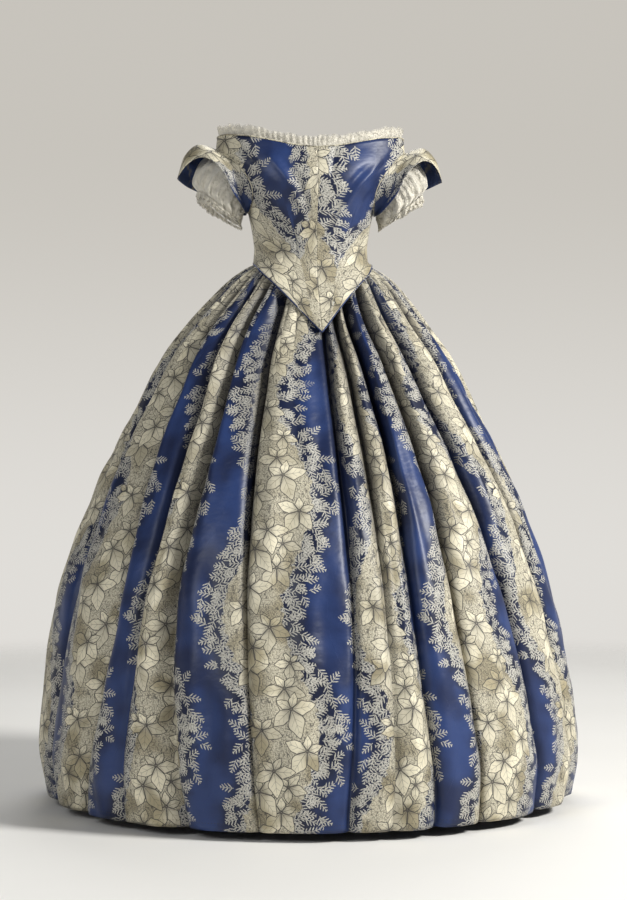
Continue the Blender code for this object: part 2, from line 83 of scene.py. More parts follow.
# The skirt's large folds: each valley's angle at four drops, its depth at two, and the pleats
# between it and the next valley.
FOLD_DROPS = (0.0, 0.33, 0.66, 1.07)
FOLD_DEPTH_DROPS = (0.0, 0.05, 0.16, 0.33, 0.66, 1.07)
FOLDS = table(
    "waist upper lower hem upper_depth lower_depth pleats",
    (-180, -180, -180, -180, 0.026, 0.018, 3),
    (-163, -164, -165, -166, 0.034, 0.022, 3),
    (-146, -147, -148, -149, 0.038, 0.026, 3),
    (-129, -129, -130, -131, 0.032, 0.022, 3),
    (-110, -111, -112, -113, 0.036, 0.024, 4),
    (-88, -93, -93, -95, 0.024, 0.018, 3),
    (-70, -76, -73, -79, 0.030, 0.020, 3),
    (-53, -55, -51, -62, 0.036, 0.024, 2),
    (-42, -43, -44, -48, 0.016, 0.004, 2),
    (-32, -34, -37, -33, 0.038, 0.026, 2),
    (-19, -22, -20, -17, 0.016, 0.008, 4),
    (3, 2, 3, 1, 0.010, 0.012, 1),
    (10, 11, 10, 10, 0.022, 0.004, 1),
    (18, 19, 17, 20, 0.030, 0.020, 2),
    (28, 30, 28, 31, 0.036, 0.014, 2),
    (40, 43, 46, 51, 0.034, 0.026, 3),
    (57, 60, 64, 69, 0.022, 0.018, 3),
    (75, 79, 82, 87, 0.028, 0.020, 4),
    (96, 98, 100, 103, 0.026, 0.018, 3),
    (114, 116, 117, 119, 0.036, 0.024, 3),
    (131, 132, 133, 134, 0.032, 0.022, 3),
    (148, 149, 150, 151, 0.038, 0.026, 3),
    (166, 167, 168, 169, 0.032, 0.022, 2),
)
FOLD_ROUNDNESS, FOLD_LEAN, FOLD_DEPTH = 0.8, 0.60, 1.12
VALLEY_CREASE, VALLEY_CREASE_WIDTH = 0.0210, 0.0070
# Painted shade: how wide the shade painted along the valleys spreads, and how far it darkens the
# silk's colour.
VALLEY_SHADE_WIDTH, VALLEY_PAINTED_SHADE = 0.0125, 0.86
# The drops over which the valleys' creases and painted shade begin and fade, how much they lose, and
# the painted shade in the pleats near the waist.
CREASE_START, CREASE_FADE, CREASE_LOSS = (0.02, 0.12), (0.35, 0.85), 0.65
SHADE_START, SHADE_FADE, SHADE_LOSS, PLEAT_SHADE = (0.00, 0.08), (0.30, 0.80), 0.75, 0.35
PLEAT_DEPTH, PLEAT_FADE, PLEAT_ROUNDNESS = 0.0085, 0.20, 0.75
PLEAT_COLUMNS, ROW_STEP, ROW_GROWTH = 12, 0.0028, 0.0058
BREADTH_SEAMS = (0, 3, 6, 10, 14, 17, 20, 23)
BREADTH_NAMES = (
    "skirt_back_right",
    "skirt_side_back_right",
    "skirt_side_front_right",
    "skirt_front",
    "skirt_side_front_left",
    "skirt_side_back_left",
    "skirt_back_left",
)

# Creases in the skirt: a soft line from one angle and drop to another, its half-width, and how far
# it goes in. A ridge has a depth below 0.
CREASES = table(
    "top_angle top_drop low_angle low_drop width depth",
    (-10, 0.10, -8, 0.42, 0.011, 0.0050),
    (-14, 0.16, -15, 0.60, 0.016, -0.0045),
    (-2, 0.12, -3, 0.50, 0.012, 0.0055),
    (-9, 0.40, -12, 0.95, 0.020, 0.0060),
    (-2, 0.55, -5, 1.07, 0.018, 0.0050),
    (7, 0.14, 6, 0.60, 0.008, -0.0040),
    (6, 0.50, 5, 1.07, 0.016, 0.0045),
    (14, 0.20, 13, 0.75, 0.010, 0.0050),
    (16, 0.55, 14, 1.07, 0.016, -0.0040),
    (24, 0.18, 24, 0.62, 0.012, 0.0060),
    (23, 0.55, 26, 1.07, 0.018, 0.0045),
    (36, 0.16, 37, 0.55, 0.013, 0.0065),
    (38, 0.48, 42, 1.00, 0.020, 0.0055),
    (50, 0.18, 54, 0.66, 0.014, 0.0060),
    (56, 0.60, 59, 1.07, 0.020, 0.0050),
    (68, 0.15, 72, 0.70, 0.015, 0.0060),
    (74, 0.62, 78, 1.07, 0.018, 0.0045),
    (87, 0.20, 91, 0.85, 0.017, 0.0065),
    (105, 0.16, 108, 0.60, 0.014, 0.0055),
    (110, 0.55, 112, 1.07, 0.020, 0.0050),
    (122, 0.18, 125, 0.80, 0.016, 0.0065),
    (140, 0.15, 141, 0.65, 0.015, 0.0060),
    (143, 0.60, 144, 1.07, 0.019, 0.0050),
    (157, 0.20, 159, 0.90, 0.016, 0.0060),
    (173, 0.16, 174, 0.70, 0.013, 0.0050),
    (-26, 0.15, -28, 0.52, 0.012, 0.0060),
    (-27, 0.50, -25, 1.07, 0.020, 0.0060),
    (-38, 0.20, -41, 0.70, 0.010, 0.0045),
    (-48, 0.16, -48, 0.60, 0.013, 0.0065),
    (-41, 0.62, -42, 1.07, 0.018, -0.0045),
    (-54, 0.58, -56, 1.07, 0.018, 0.0050),
    (-62, 0.18, -64, 0.66, 0.015, 0.0060),
    (-66, 0.62, -69, 1.07, 0.020, 0.0045),
    (-82, 0.20, -84, 0.80, 0.016, 0.0060),
    (-99, 0.16, -103, 0.62, 0.014, 0.0055),
    (-102, 0.58, -105, 1.07, 0.020, 0.0050),
    (-119, 0.18, -121, 0.85, 0.016, 0.0065),
    (-137, 0.16, -139, 0.60, 0.014, 0.0055),
    (-140, 0.56, -141, 1.07, 0.019, 0.0050),
    (-154, 0.20, -156, 0.88, 0.016, 0.0060),
    (-171, 0.16, -172, 0.66, 0.013, 0.0050),
)
CRUMPLE_WAVES, CRUMPLE_DEPTH, CRUMPLE_LENGTHS, CRUMPLE_TURN = 26, 0.0016, (0.035, 0.150), 0.7
CRUMPLE_START = (0.05, 0.30)
HEM_ROLL, HEM_ROLL_HEIGHT = 0.0022, 0.010
HEM_STITCH_HEIGHT, HEM_STITCH_SPACING = 0.014, 0.0060

# The bodice's half-widths inside, its edges and its armholes, as on the solids.
BODICE_ROWS = table(
    "height side front back",
    (0.000, 0.110, 0.096, 0.090),
    (0.030, 0.113, 0.099, 0.091),
    (0.060, 0.117, 0.104, 0.092),
    (0.090, 0.123, 0.111, 0.094),
    (0.120, 0.131, 0.119, 0.096),
    (0.150, 0.146, 0.123, 0.097),
    (0.175, 0.166, 0.121, 0.097),
    (0.200, 0.184, 0.114, 0.096),
    (0.228, 0.191, 0.102, 0.094),
    (0.260, 0.188, 0.092, 0.091),
)
SHOULDER_SQUARENESS = 0.045
CUP_ANGLE, CUP_HEIGHT, CUP_RISE = 31.0, 0.150, 0.007
CUP_SPREAD_ANGLE, CUP_SPREAD_HEIGHT = 20.0, 0.042
LOWER_EDGE = table(
    "angle height",
    (0, -0.150), (6, -0.119), (12, -0.093), (20, -0.067),
    (30, -0.044), (44, -0.024), (60, -0.010), (75, -0.003),
    (90, 0.000), (120, 0.000), (150, -0.004), (180, -0.010),
)
NECK_EDGE = table(
    "angle height",
    (0, 0.224), (12, 0.228), (25, 0.237), (45, 0.249),
    (70, 0.254), (90, 0.254), (110, 0.250), (140, 0.239),
    (180, 0.230),
)
ARMHOLE_ANGLE, ARMHOLE_HALF_ANGLE = 90.0, 35.0
ARMHOLE_MIDDLE, ARMHOLE_RISE, ARMHOLE_FALL = 0.177, 0.051, 0.075
SIDE_FRONT_TURN, SIDE_BACK_TURN = 45.0, -30.0
# The bodice's panels as they are cut, and the share of that which is cloth.
BODICE_PANELS = table(
    "kind width length cloth_share",
    ("front", 0.27, 0.42, 0.62),
    ("side", 0.11, 0.15, 0.70),
    ("back", 0.25, 0.30, 0.62),
)

# The waist is smoothed over these heights with these weights, this far up and down, and in front
# between these angles.
WAIST_REACH, WAIST_FRONT = 0.035, (85.0, 55.0)
WAIST_WEIGHTS = ((-0.018, 1), (-0.009, 2), (0.0, 3), (0.009, 2), (0.018, 1))

# The bodice's darts and creases, from a top angle and height to a low one. A ridge has a depth
# below 0, and side is 1 for the wearer's left, -1 for the right and 0 for both.
BODICE_CREASES = table(
    "side top_angle top_height low_angle low_height width depth",
    (0, 25, 0.135, 17, -0.060, 0.0022, 0.0011),
    (0, 38, 0.130, 31, -0.035, 0.0022, 0.0010),
    (1, 44, 0.205, 14, 0.050, 0.0070, -0.0042),
    (1, 36, 0.200, 8, 0.060, 0.0080, 0.0042),
    (1, 11, 0.228, 10, 0.160, 0.0045, 0.0040),
    (1, 60, 0.235, 40, 0.170, 0.0080, 0.0034),
    (-1, 30, 0.220, 13, 0.090, 0.0070, -0.0034),
    (-1, 22, 0.215, 6, 0.070, 0.0080, 0.0034),
    (-1, 58, 0.238, 36, 0.180, 0.0080, 0.0044),
    (-1, 46, 0.160, 30, 0.050, 0.0100, 0.0022),
    (1, 52, 0.150, 34, 0.050, 0.0100, 0.0022),
    (0, 150, 0.190, 166, 0.040, 0.0110, 0.0020),
    (0, 132, 0.170, 150, 0.020, 0.0110, -0.0018),
)

# How each half of the bodice is cut: at each height, how far from its middle seam the blue between
# two columns lies, and how much of that blue the darts take up on either side. The figure is as
# close together as given, inside the blue and outside it. The back's blue keeps one distance.
CUT_COLUMNS = "height across taken"
CUT_LEFT = table(
    CUT_COLUMNS,
    (-0.150, 0.020, 0.090),
    (-0.040, 0.036, 0.088),
    (0.045, 0.058, 0.050),
    (0.095, 0.085, 0.008),
    (0.150, 0.106, 0.002),
    (0.240, 0.128, 0.002),
)
CUT_RIGHT = table(
    CUT_COLUMNS,
    (-0.150, 0.012, 0.094),
    (-0.040, 0.026, 0.092),
    (0.045, 0.042, 0.054),
    (0.105, 0.062, 0.020),
    (0.160, 0.077, 0.002),
    (0.240, 0.084, 0.000),
)
CLOSENESS_LEFT, CLOSENESS_RIGHT = (0.82, 1.15), (1.35, 1.15)
BACK_CUT, BACK_BELOW = 0.100, 0.010
RIGHT_BELOW = 0.037
BODICE_TOP = 0.230
BODICE_GIRTH_RADIUS = 0.118
SLEEVE_CUT = 0.030

# Sleeve rings below the armhole: inner and outer points across the arm, and half-depth.
SLEEVE_COLUMNS = "along inner_x inner_z outer_x outer_z depth"
PUFF_ROWS = table(
    SLEEVE_COLUMNS,
    (0.00, 0.1300, 0.1020, 0.1900, 0.2280, 0.054),
    (0.25, 0.1350, 0.1010, 0.2130, 0.2140, 0.059),
    (0.50, 0.1385, 0.0940, 0.2330, 0.1900, 0.066),
    (0.75, 0.1405, 0.0840, 0.2410, 0.1640, 0.066),
    (1.00, 0.1430, 0.0740, 0.2280, 0.1420, 0.053),
)
CAP_ROWS = table(
    SLEEVE_COLUMNS,
    (0.00, 0.1300, 0.1020, 0.1900, 0.2280, 0.058),
    (0.35, 0.1315, 0.0970, 0.2250, 0.2380, 0.080),
    (0.70, 0.1335, 0.0880, 0.2540, 0.2120, 0.094),
    (1.00, 0.1345, 0.0810, 0.2660, 0.1650, 0.099),
)
FRILL_ROWS = table(
    SLEEVE_COLUMNS,
    (0.00, 0.1433, 0.0728, 0.2283, 0.1408, 0.0525),
    (1.00, 0.1345, 0.0575, 0.2330, 0.1200, 0.0600),
)
# The sleeve's two frills: where each starts and how long it is as a share of the rings, its waves,
# their depth, and how far out it lies.
FRILL_LAYERS = table(
    "start length waves depth outwards",
    (0.00, 0.92, 27, 0.0065, 0.0000),
    (-0.20, 0.78, 22, 0.0060, 0.0040),
)
FRILL_CUT, FRILL_FLAT = (0.9, 0.030), (0.44, 0.026)
# The piping: its sides, half-thickness, how far out it lies at the armholes, and its places on the
# cloth.
CORD_SIDES, PIPING, PIPING_OUT = 8, 0.0013, 0.0010
LOWER_PIPING, NECK_PIPING, ARMHOLE_PIPING = (0.138, 0.0), (0.0, 0.1), (0.0, 0.2)
ARMHOLE_BLEND = 0.35
PUFF_INSET, PUFF_FLAT, PUFF_GATHERS, PUFF_GATHER_DEPTH = 0.0040, (0.50, 0.08), 14, 0.0062
CAP_INSET, CAP_FLAT = 0.0010, (0.40, 0.09)
CAP_FLUTES, CAP_FLUTE_DEPTH = 5, 0.0090
CAP_LENGTH = table(
    "turn length",
    (0, 1.00), (25, 0.80), (55, 0.50), (85, 0.38), (120, 0.52), (150, 0.50),
    (180, 0.34), (220, 0.50), (270, 0.80), (320, 0.96), (360, 1.00),
)

# The neckline's frill: how far its rows lie above the edge and inside it, and its waves' depth.
NECK_FRILL_ROWS = table(
    "row rise inset depth",
    (0, -0.010, 0.0032, 0.0006),
    (1, 0.001, 0.0030, 0.0011),
    (2, 0.021, -0.0020, 0.0028),
)
NECK_GATHERS, NECK_FLAT, NECK_GAP, NECK_ROW_LENGTH = 104, (1.25, 0.032), 0.0010, 0.015

# The figured silk: leafy columns that swing from side to side, this far apart round the skirt.
SKIRT_COLUMNS = 14
REPEAT = 0.445
SWING, BULGE_HEIGHT = 0.033, 0.175
FRONT_COLUMN_ANGLE, FRONT_COLUMN_DROP = -14.5, 0.94
COLUMN_CORE, COLUMN_REACH = 0.061, 0.118

# How much of the blue the waist's pleats take up on either side of its middle, and the share of
# that for the front's gaps, counted from the front column to the wearer's left.
WAIST_TAKEN, WAIST_TAKEN_DROPS = 0.034, (0.48, 0.06)
PLEAT_SOFTNESS = 0.004
# The spare width of each fold's cloth, and the drops over which what a row doesn't show moves from
# the pleats' valleys to the folds'.
FOLD_SPARE, HIDDEN_MOVES = 1.02, (0.02, 0.30)
WAIST_BLUE = ((0, 0.15), (1, 0.60), (-1, 0.75))

# Rows of leaf clusters that run up each column, so many in a repeat: how far up the first lies, how
# far across the row runs and how far its clusters stray, its turn in degrees and how far that
# strays, and the length of the longest leaf. A later row lies over an earlier one.
CLUSTERS = 4
LEAF_ROWS = table(
    "up across stray turn turn_stray size",
    (0.030, 0.000, 0.062, 10, 60, 0.036),
    (0.095, 0.031, 0.012, -16, 22, 0.053),
    (0.020, -0.035, 0.012, 20, 24, 0.054),
    (0.058, 0.002, 0.016, 4, 30, 0.055),
)

# A cluster of five pointed leaves, one of them longest: a leaf's half-width grows quickly from the
# stalk and falls to a drawn-out point.
LEAVES = 5
LEAF_SECTOR = TURN / LEAVES
LEAF_WIDTH, LEAF_BEND, LEAF_LINE = 0.90, 0.10, 0.00150
BLADE_RISE, BLADE_FALL = 0.66, 1.02
LEAF_REACH, LEAF_REACH_CHANGE = 0.78, 0.24
VEIN_SPACING, VEIN_SLANT = 0.0120, 1.15

# A spray of leaflets in pairs along a stem: its cell of the cloth, its length and half-width there,
# the leaflets' spacing, and how far sprays stand from the column's middle, layer by layer.
SPRAY_CELL = 0.0270
SPRAY_LENGTH, SPRAY_WIDTH, SPRAY_TAPER = 0.95, 0.36, 1.04
LEAFLET_SPACING, LEAFLET_FORWARD, LEAFLET_THICKNESS = 0.26, 0.90, 0.24
SPRAY_STRAY = 0.022
SPRAY_LAYERS = table("salt reach", (3.4, 0.127), (11.7, 0.121), (19.3, 0.115), (27.6, 0.105))

# Colours, as linear red, green and blue.
BLUE = (0.020, 0.042, 0.140)
BLUE_DEEP = (0.010, 0.019, 0.066)
NAVY = (0.005, 0.007, 0.020)
CREAM = (0.720, 0.668, 0.512)
TAN = (0.310, 0.265, 0.155)
SPRIG = (0.540, 0.525, 0.465)
INK = (0.032, 0.030, 0.032)
REVERSE_BLUE, REVERSE_THREAD = (0.022, 0.044, 0.135), (0.17, 0.16, 0.14)
NET_COLOUR = (0.740, 0.700, 0.600)

# The room: a pale floor that fades into a pale surround, soft lights, and the camera.
FLOOR_HEIGHT, FLOOR_RADIUS, FLOOR_FADE, FLOOR_SIDES = -1.088, 3.9, 2.4, 96
FLOOR_COLOURS = (0.79, 0.78, 0.75), (0.82, 0.81, 0.785)
WALL_LOW, WALL_HIGH = (0.745, 0.725, 0.69), (0.575, 0.55, 0.505)
DOME_TOP, DOME_FRONT = (0.10, 0.097, 0.09), (0.09, 0.09, 0.09)
LIGHTS = table(
    "name place aim size power colour",
    ("key", (3.4, -2.3, 2.0), (0.0, 0.0, -0.3), 1.2, 300.0, (1.0, 0.99, 0.965)),
    ("fill", (-2.6, -3.0, 1.2), (0.0, 0.0, -0.4), 1.8, 52.0, (0.97, 0.985, 1.0)),
    ("back", (0.4, 2.6, 2.4), (0.0, 0.0, -1.0), 2.4, 66.0, (1.0, 1.0, 1.0)),
)
CAMERA_DISTANCE, CAMERA_AZIMUTH, CAMERA_HEIGHT, CAMERA_RIGHT = 4.34, -7.0, -0.38, 0.006
LENS = 85.1


class Curve:
    """A smooth curve through a table's values that never overshoots between two rows."""

    def __init__(self, places, values):
        self.places = np.array(places, float)
        self.values = np.array(values, float)
        rises = np.diff(self.values) / np.diff(self.places)
        left, right = rises[:-1], rises[1:]
        same_way = left * right > 0
        total = np.where(same_way, left + right, 1.0)
        middle = np.where(same_way, 2 * left * right / total, 0.0)
        self.slopes = np.concatenate([rises[:1], middle, rises[-1:]])

    def __call__(self, place):
        place = np.clip(place, self.places[0], self.places[-1])
        i = np.searchsorted(self.places, place, side="left") - 1
        i = np.clip(i, 0, len(self.places) - 2)
        width = self.places[i + 1] - self.places[i]
        t = (place - self.places[i]) / width
        return (
            self.values[i] * (1 + 2 * t) * (1 - t) ** 2
            + self.values[i + 1] * t * t * (3 - 2 * t)
            + self.slopes[i] * width * t * (1 - t) ** 2
            - self.slopes[i + 1] * width * t * t * (1 - t)
        )


def columns(rows):
    """A table's columns as curves over its first column."""
    places = [row[0] for row in rows]
    return [Curve(places, [row[i] for row in rows]) for i in range(1, len(rows[0]))]


skirt_right, skirt_left, skirt_front, skirt_back = columns(SKIRT_ROWS)
bodice_side, bodice_front, bodice_back = columns(BODICE_ROWS)
(lower_edge,) = columns(LOWER_EDGE)
(neck_edge,) = columns(NECK_EDGE)
(cap_length,) = columns(CAP_LENGTH)
puff_table, cap_table, frill_table = columns(PUFF_ROWS), columns(CAP_ROWS), columns(FRILL_ROWS)
random = np.random.default_rng(SEED)


def wrapped(angle):
    return (angle + 180.0) % 360.0 - 180.0


def eased(low, high, value):
    """0 up to low and 1 from high on, with a smooth step between."""
    t = np.clip((value - low) / (high - low), 0.0, 1.0)
    return t * t * (3 - 2 * t)


def length_of(vectors):
    return np.sqrt((vectors**2).sum(-1))


def unit(vectors):
    return vectors / np.maximum(length_of(vectors), 1e-12)[..., None]


# Meshes.


def cell_values(values):
    """The four corners' values of each cell in a grid of rows and columns."""
    return np.stack([values[:-1, :-1], values[:-1, 1:], values[1:, 1:], values[1:, :-1]], axis=2)


def flat_cells(values):
    return values.reshape(-1, 4, values.shape[-1])


def cells_of(values):
    return flat_cells(cell_values(values))


def welded(corners):
    """The points where the cells' corners meet, and each cell as the numbers of its four points."""
    points, index = np.unique(np.round(corners.reshape(-1, 3), 6), axis=0, return_inverse=True)
    return points, index.reshape(-1, 4)


def placed(name, data):
    """An object in the scene."""
    item = bpy.data.objects.new(name, data)
    bpy.context.scene.collection.objects.link(item)
    return item


def quad_mesh(name, points, quads, uvs, *finishes):
    """A smooth mesh of quads. A quad that names a corner twice becomes a triangle."""
    keep = quads != np.roll(quads, -1, axis=1)
    sizes = keep.sum(1)
    whole = sizes >= 3
    keep, quads, uvs, sizes = keep[whole], quads[whole], uvs[whole], sizes[whole]
    corners = quads[keep].astype(np.int32)
    mesh = bpy.data.meshes.new(name)
    mesh.vertices.add(len(points))
    mesh.vertices.foreach_set("co", points.astype(np.float32).ravel())
    mesh.loops.add(len(corners))
    mesh.loops.foreach_set("vertex_index", corners)
    mesh.polygons.add(len(sizes))
    starts = np.concatenate([[0], np.cumsum(sizes)[:-1]]).astype(np.int32)
    mesh.polygons.foreach_set("loop_start", starts)
    mesh.polygons.foreach_set("use_smooth", np.ones(len(sizes), bool))
    layer = mesh.uv_layers.new(name="cloth")
    layer.data.foreach_set("uv", uvs[keep].astype(np.float32).ravel())
    mesh.update(calc_edges=True)
    mesh.validate()
    for finish in finishes:
        mesh.materials.append(finish)
    return mesh


def cloth(name, fabric, corners, uvs, deep=None):
    """One piece of cloth from its cells' corners and their places on the flat cloth. The cells are
    welded where they meet, and an inner face and a rim close the piece. The corners may carry
    the shade painted along the valleys."""
    points, quads = welded(corners)
    across = points[quads[:, 2]] - points[quads[:, 0]]
    along = points[quads[:, 3]] - points[quads[:, 1]]
    faces, normals = np.cross(across, along), np.zeros_like(points)
    for corner in range(4):
        np.add.at(normals, quads[:, corner], faces)
    count = len(points)
    edges = np.concatenate([quads[:, [i, (i + 1) % 4]] for i in range(4)])
    edge_uvs = np.concatenate([uvs[:, [i, (i + 1) % 4]] for i in range(4)])
    real = edges[:, 0] != edges[:, 1]
    edges, edge_uvs = edges[real], edge_uvs[real]
    # An edge is open where no cell runs along it the other way.
    open_edge = ~np.isin(edges @ (count, 1), edges @ (1, count))
    a, b = edges[open_edge].T
    rim = np.stack([b, a, a + count, b + count], axis=1)
    all_quads = np.concatenate([quads, quads[:, ::-1] + count, rim])
    all_uvs = np.concatenate([uvs, uvs[:, ::-1], edge_uvs[open_edge][:, [1, 0, 0, 1]]])
    all_points = np.concatenate([points, points - unit(normals) * fabric.thickness])
    mesh = quad_mesh(name, all_points, all_quads, all_uvs, fabric.finish)
    # Painted shade along the valleys goes on the mesh as a point attribute named valley, the same on
    # both faces.
    if deep is not None:
        depth = np.zeros(count, np.float32)
        depth[quads.ravel()] = deep.ravel()
        layer = mesh.attributes.new("valley", "FLOAT", "POINT")
        layer.data.foreach_set("value", np.concatenate([depth, depth]))
    if fabric.lining:
        mesh.materials.append(fabric.lining)
        inside = np.repeat([0, 1, 0], [len(quads), len(quads), len(rim)]).astype(np.int32)
        mesh.polygons.foreach_set("material_index", inside)
    return placed(name, mesh)


# What a piece is cut from: its name's ending, slot and thickness, its face and its other side.
Fabric = namedtuple("Fabric", "ending slot thickness finish lining")


def make_piece(node, fabric, corners, uvs, deep=None):
    piece = cloth(f"{node}_{fabric.ending}", fabric, corners, uvs, deep)
    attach(piece, "root")
    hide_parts(node)


# Materials. A Number is a number that a shader works out: its formulas become math nodes.


def plug(socket, value):
    """Links a Number or a socket to an input, or sets the input to a constant."""
    if isinstance(value, Number):
        value = value.socket
    if isinstance(value, bpy.types.NodeSocket):
        socket.id_data.links.new(value, socket)
    else:
        socket.default_value = value


def set_inputs(node, values):
    for place, value in values.items():
        plug(node.inputs[place], value)


def add_node(tree, kind, inputs, **settings):
    """A shader node with its settings, and its inputs by place or name."""
    node = tree.nodes.new("ShaderNode" + kind)
    for name, setting in settings.items():
        setattr(node, name, setting)
    set_inputs(node, inputs)
    return node


def formula(operation, number_last=False):
    def worked_out(number, *others):
        values = (*others, number) if number_last else (number, *others)
        node = add_node(number.tree, "Math", dict(enumerate(values)), operation=operation)
        return Number(node.outputs[0])

    return worked_out


class Number:
    def __init__(self, socket):
        self.socket, self.tree = socket, socket.id_data

    __add__ = __radd__ = formula("ADD")
    __sub__, __rsub__ = formula("SUBTRACT"), formula("SUBTRACT", number_last=True)
    __mul__ = __rmul__ = formula("MULTIPLY")
    __truediv__, __pow__, __abs__ = formula("DIVIDE"), formula("POWER"), formula("ABSOLUTE")
    at_least, at_most, wrapped = formula("MAXIMUM"), formula("MINIMUM"), formula("WRAP")
    sine, cosine, arctangent = formula("SINE"), formula("COSINE"), formula("ARCTAN2")
    root, floor, fraction = formula("SQRT"), formula("FLOOR"), formula("FRACT")
    rounded, sign = formula("ROUND"), formula("SIGN")


def step(value, low, high, start=0.0, end=1.0):
    """A smooth step from start at low to end at high."""
    inputs = dict(enumerate((value, low, high, start, end)))
    node = add_node(value.tree, "MapRange", inputs, interpolation_type="SMOOTHSTEP")
    return Number(node.outputs[0])


def mixed(share, first, second):
    """Two numbers mixed by a share."""
    return Number(add_node(share.tree, "Mix", {0: share, 2: first, 3: second}).outputs[0])


def mixed_colour(share, *colours):
    """Two colours mixed by a share. A colour is a socket, or red, green and blue."""
    first, second = ((*c, 1.0) if isinstance(c, tuple) else c for c in colours)
    return add_node(share.tree, "Mix", {0: share, 6: first, 7: second}, data_type="RGBA").outputs[2]


def vector_of(x, y):
    return add_node(x.tree, "CombineXYZ", {0: x, 1: y}).outputs[0]


def parts_of(vector):
    node = add_node(vector.id_data, "SeparateXYZ", {0: vector})
    return [Number(socket) for socket in node.outputs]


def place_in(tree, kind):
    return add_node(tree, "TexCoord", {}).outputs[kind]


def cloth_uv(tree):
    return add_node(tree, "UVMap", {}, uv_map="cloth").outputs[0]


def noise(vector, scale, detail=2.0, roughness=0.5, distortion=0.0, solid=False):
    inputs = {"Vector": vector, "Scale": scale, "Detail": detail, "Roughness": roughness}
    inputs["Distortion"] = distortion
    node = add_node(vector.id_data, "TexNoise", inputs, noise_dimensions="3D" if solid else "2D")
    return Number(node.outputs["Fac"])


def turned(u, v, degrees, width, height):
    """The plane's coordinates turned, and counted in cells of a width and height."""
    a = math.radians(degrees)
    x = u * (math.cos(a) / width) + v * (math.sin(a) / width)
    y = v * (math.cos(a) / height) - u * (math.sin(a) / height)
    return vector_of(x, y)


def add_bump(shader, height, distance, strength=1.0):
    inputs = {"Height": height, "Distance": distance, "Strength": strength}
    plug(shader.inputs["Normal"], add_node(shader.id_data, "Bump", inputs).outputs[0])


def new_material(name):
    made = bpy.data.materials.new(name)
    made.use_nodes = True
    return made, made.node_tree, made.node_tree.nodes["Principled BSDF"]


def new_group(name, inputs, outputs):
    """An empty node group that takes and gives numbers, and what it takes."""
    tree = bpy.data.node_groups.new(name, "ShaderNodeTree")
    for way, words in (("INPUT", inputs), ("OUTPUT", outputs)):
        for word in words.split():
            tree.interface.new_socket(word, in_out=way, socket_type="NodeSocketFloat")
    source = tree.nodes.new("NodeGroupInput")
    return tree, [Number(source.outputs[word]) for word in inputs.split()]


def end_group(tree, *results):
    target = tree.nodes.new("NodeGroupOutput")
    set_inputs(target, dict(enumerate(results)))
    return tree


def group_results(group, *numbers):
    node = add_node(numbers[0].tree, "Group", dict(enumerate(numbers)), node_tree=group)
    return [Number(socket) for socket in node.outputs]


def swing_at(v):
    """How far the column's middle lies to the side at a height of the cloth."""
    phase = (v - BULGE_HEIGHT) * (TURN / REPEAT)
    return (phase.cosine() if isinstance(phase, Number) else np.cos(phase)) * SWING


def cloth_place(tree, period):
    """The place on the flat cloth: across, wrapped to one column, and up."""
    place = cloth_uv(tree)
    u, v, _ = parts_of(place)
    swing = swing_at(v)
    return place, (u - swing).wrapped(period / 2, -period / 2) + swing, v


def rosette_group(period):
    """Node group: the cover and tone of a row of leaf clusters at a place on the cloth."""
    words = "u v up across stray turn turn_stray size spacing"
    tree, inputs = new_group("leaf_cluster", words, "cover tone")
    u, v, up, across, stray, turn, turn_stray, size, spacing = inputs
    slot = (v - up) / spacing
    number = slot.floor()
    dv = (slot - number - 0.5) * spacing
    # The slot's number within a repeat stands for a random choice, the same in every repeat.
    number = number.wrapped(CLUSTERS, 0.0)
    across = across + (number * 2.3 + up * 90.0).sine() * stray
    turn = turn + (number * 4.1 + up * 50.0).sine() * turn_stray
    size = size * ((number * 2.9 + up * 70.0).sine() * 0.07 + 0.96)
    du = (u - (across + swing_at(v - dv))).wrapped(period / 2, -period / 2)
    radius = (du * du + dv * dv).root()
    heading = du.arctangent(dv * -1.0) - turn
    sector = (heading / LEAF_SECTOR).rounded()
    off = heading - sector * LEAF_SECTOR
    along, side = radius * off.cosine(), radius * off.sine()
    reach = size * ((sector * LEAF_SECTOR).cosine() * LEAF_REACH_CHANGE + LEAF_REACH)
    share = (along / reach).at_most(1.0).at_least(0.0)
    blade = share**BLADE_RISE * (1.0 - share) ** BLADE_FALL
    wavy = (share * 15.0 + sector * 2.0).sine() * 0.07 + 1.0
    width = blade * wavy * reach * LEAF_WIDTH
    bent = side + share * share * (sector * 4.0 + turn * 3.0).sine() * reach * LEAF_BEND
    from_edge = width - abs(bent)
    from_neighbour = along * math.tan(LEAF_SECTOR / 2) - abs(side)
    inside = from_edge.at_most(from_neighbour).at_most((0.98 - share) * reach)
    cover = step(inside, 0.0, 0.0004)
    outline = step(inside, LEAF_LINE * 0.7, LEAF_LINE * 1.5)
    rib = step(abs(bent) + share * 0.0004, 0.0002, 0.0009).at_least(step(share, 0.72, 0.82))
    vein = abs(((along - abs(bent) * VEIN_SLANT) / VEIN_SPACING).fraction() - 0.5)
    vein = step(vein, 0.02, 0.08, 0.52, 1.0).at_least(step(from_edge / width, 0.35, 0.50, 1.0, 0.0))
    # Leaves differ in tone, and each is darker at its stalk.
    shade = 1.0 - step(share, 0.50, 0.0) * 0.34
    shade *= (sector * 5.0 + turn * 9.0).sine() * 0.13 + 0.87
    return end_group(tree, cover, outline * (rib * 0.75 + 0.25).at_most(vein) * shade)


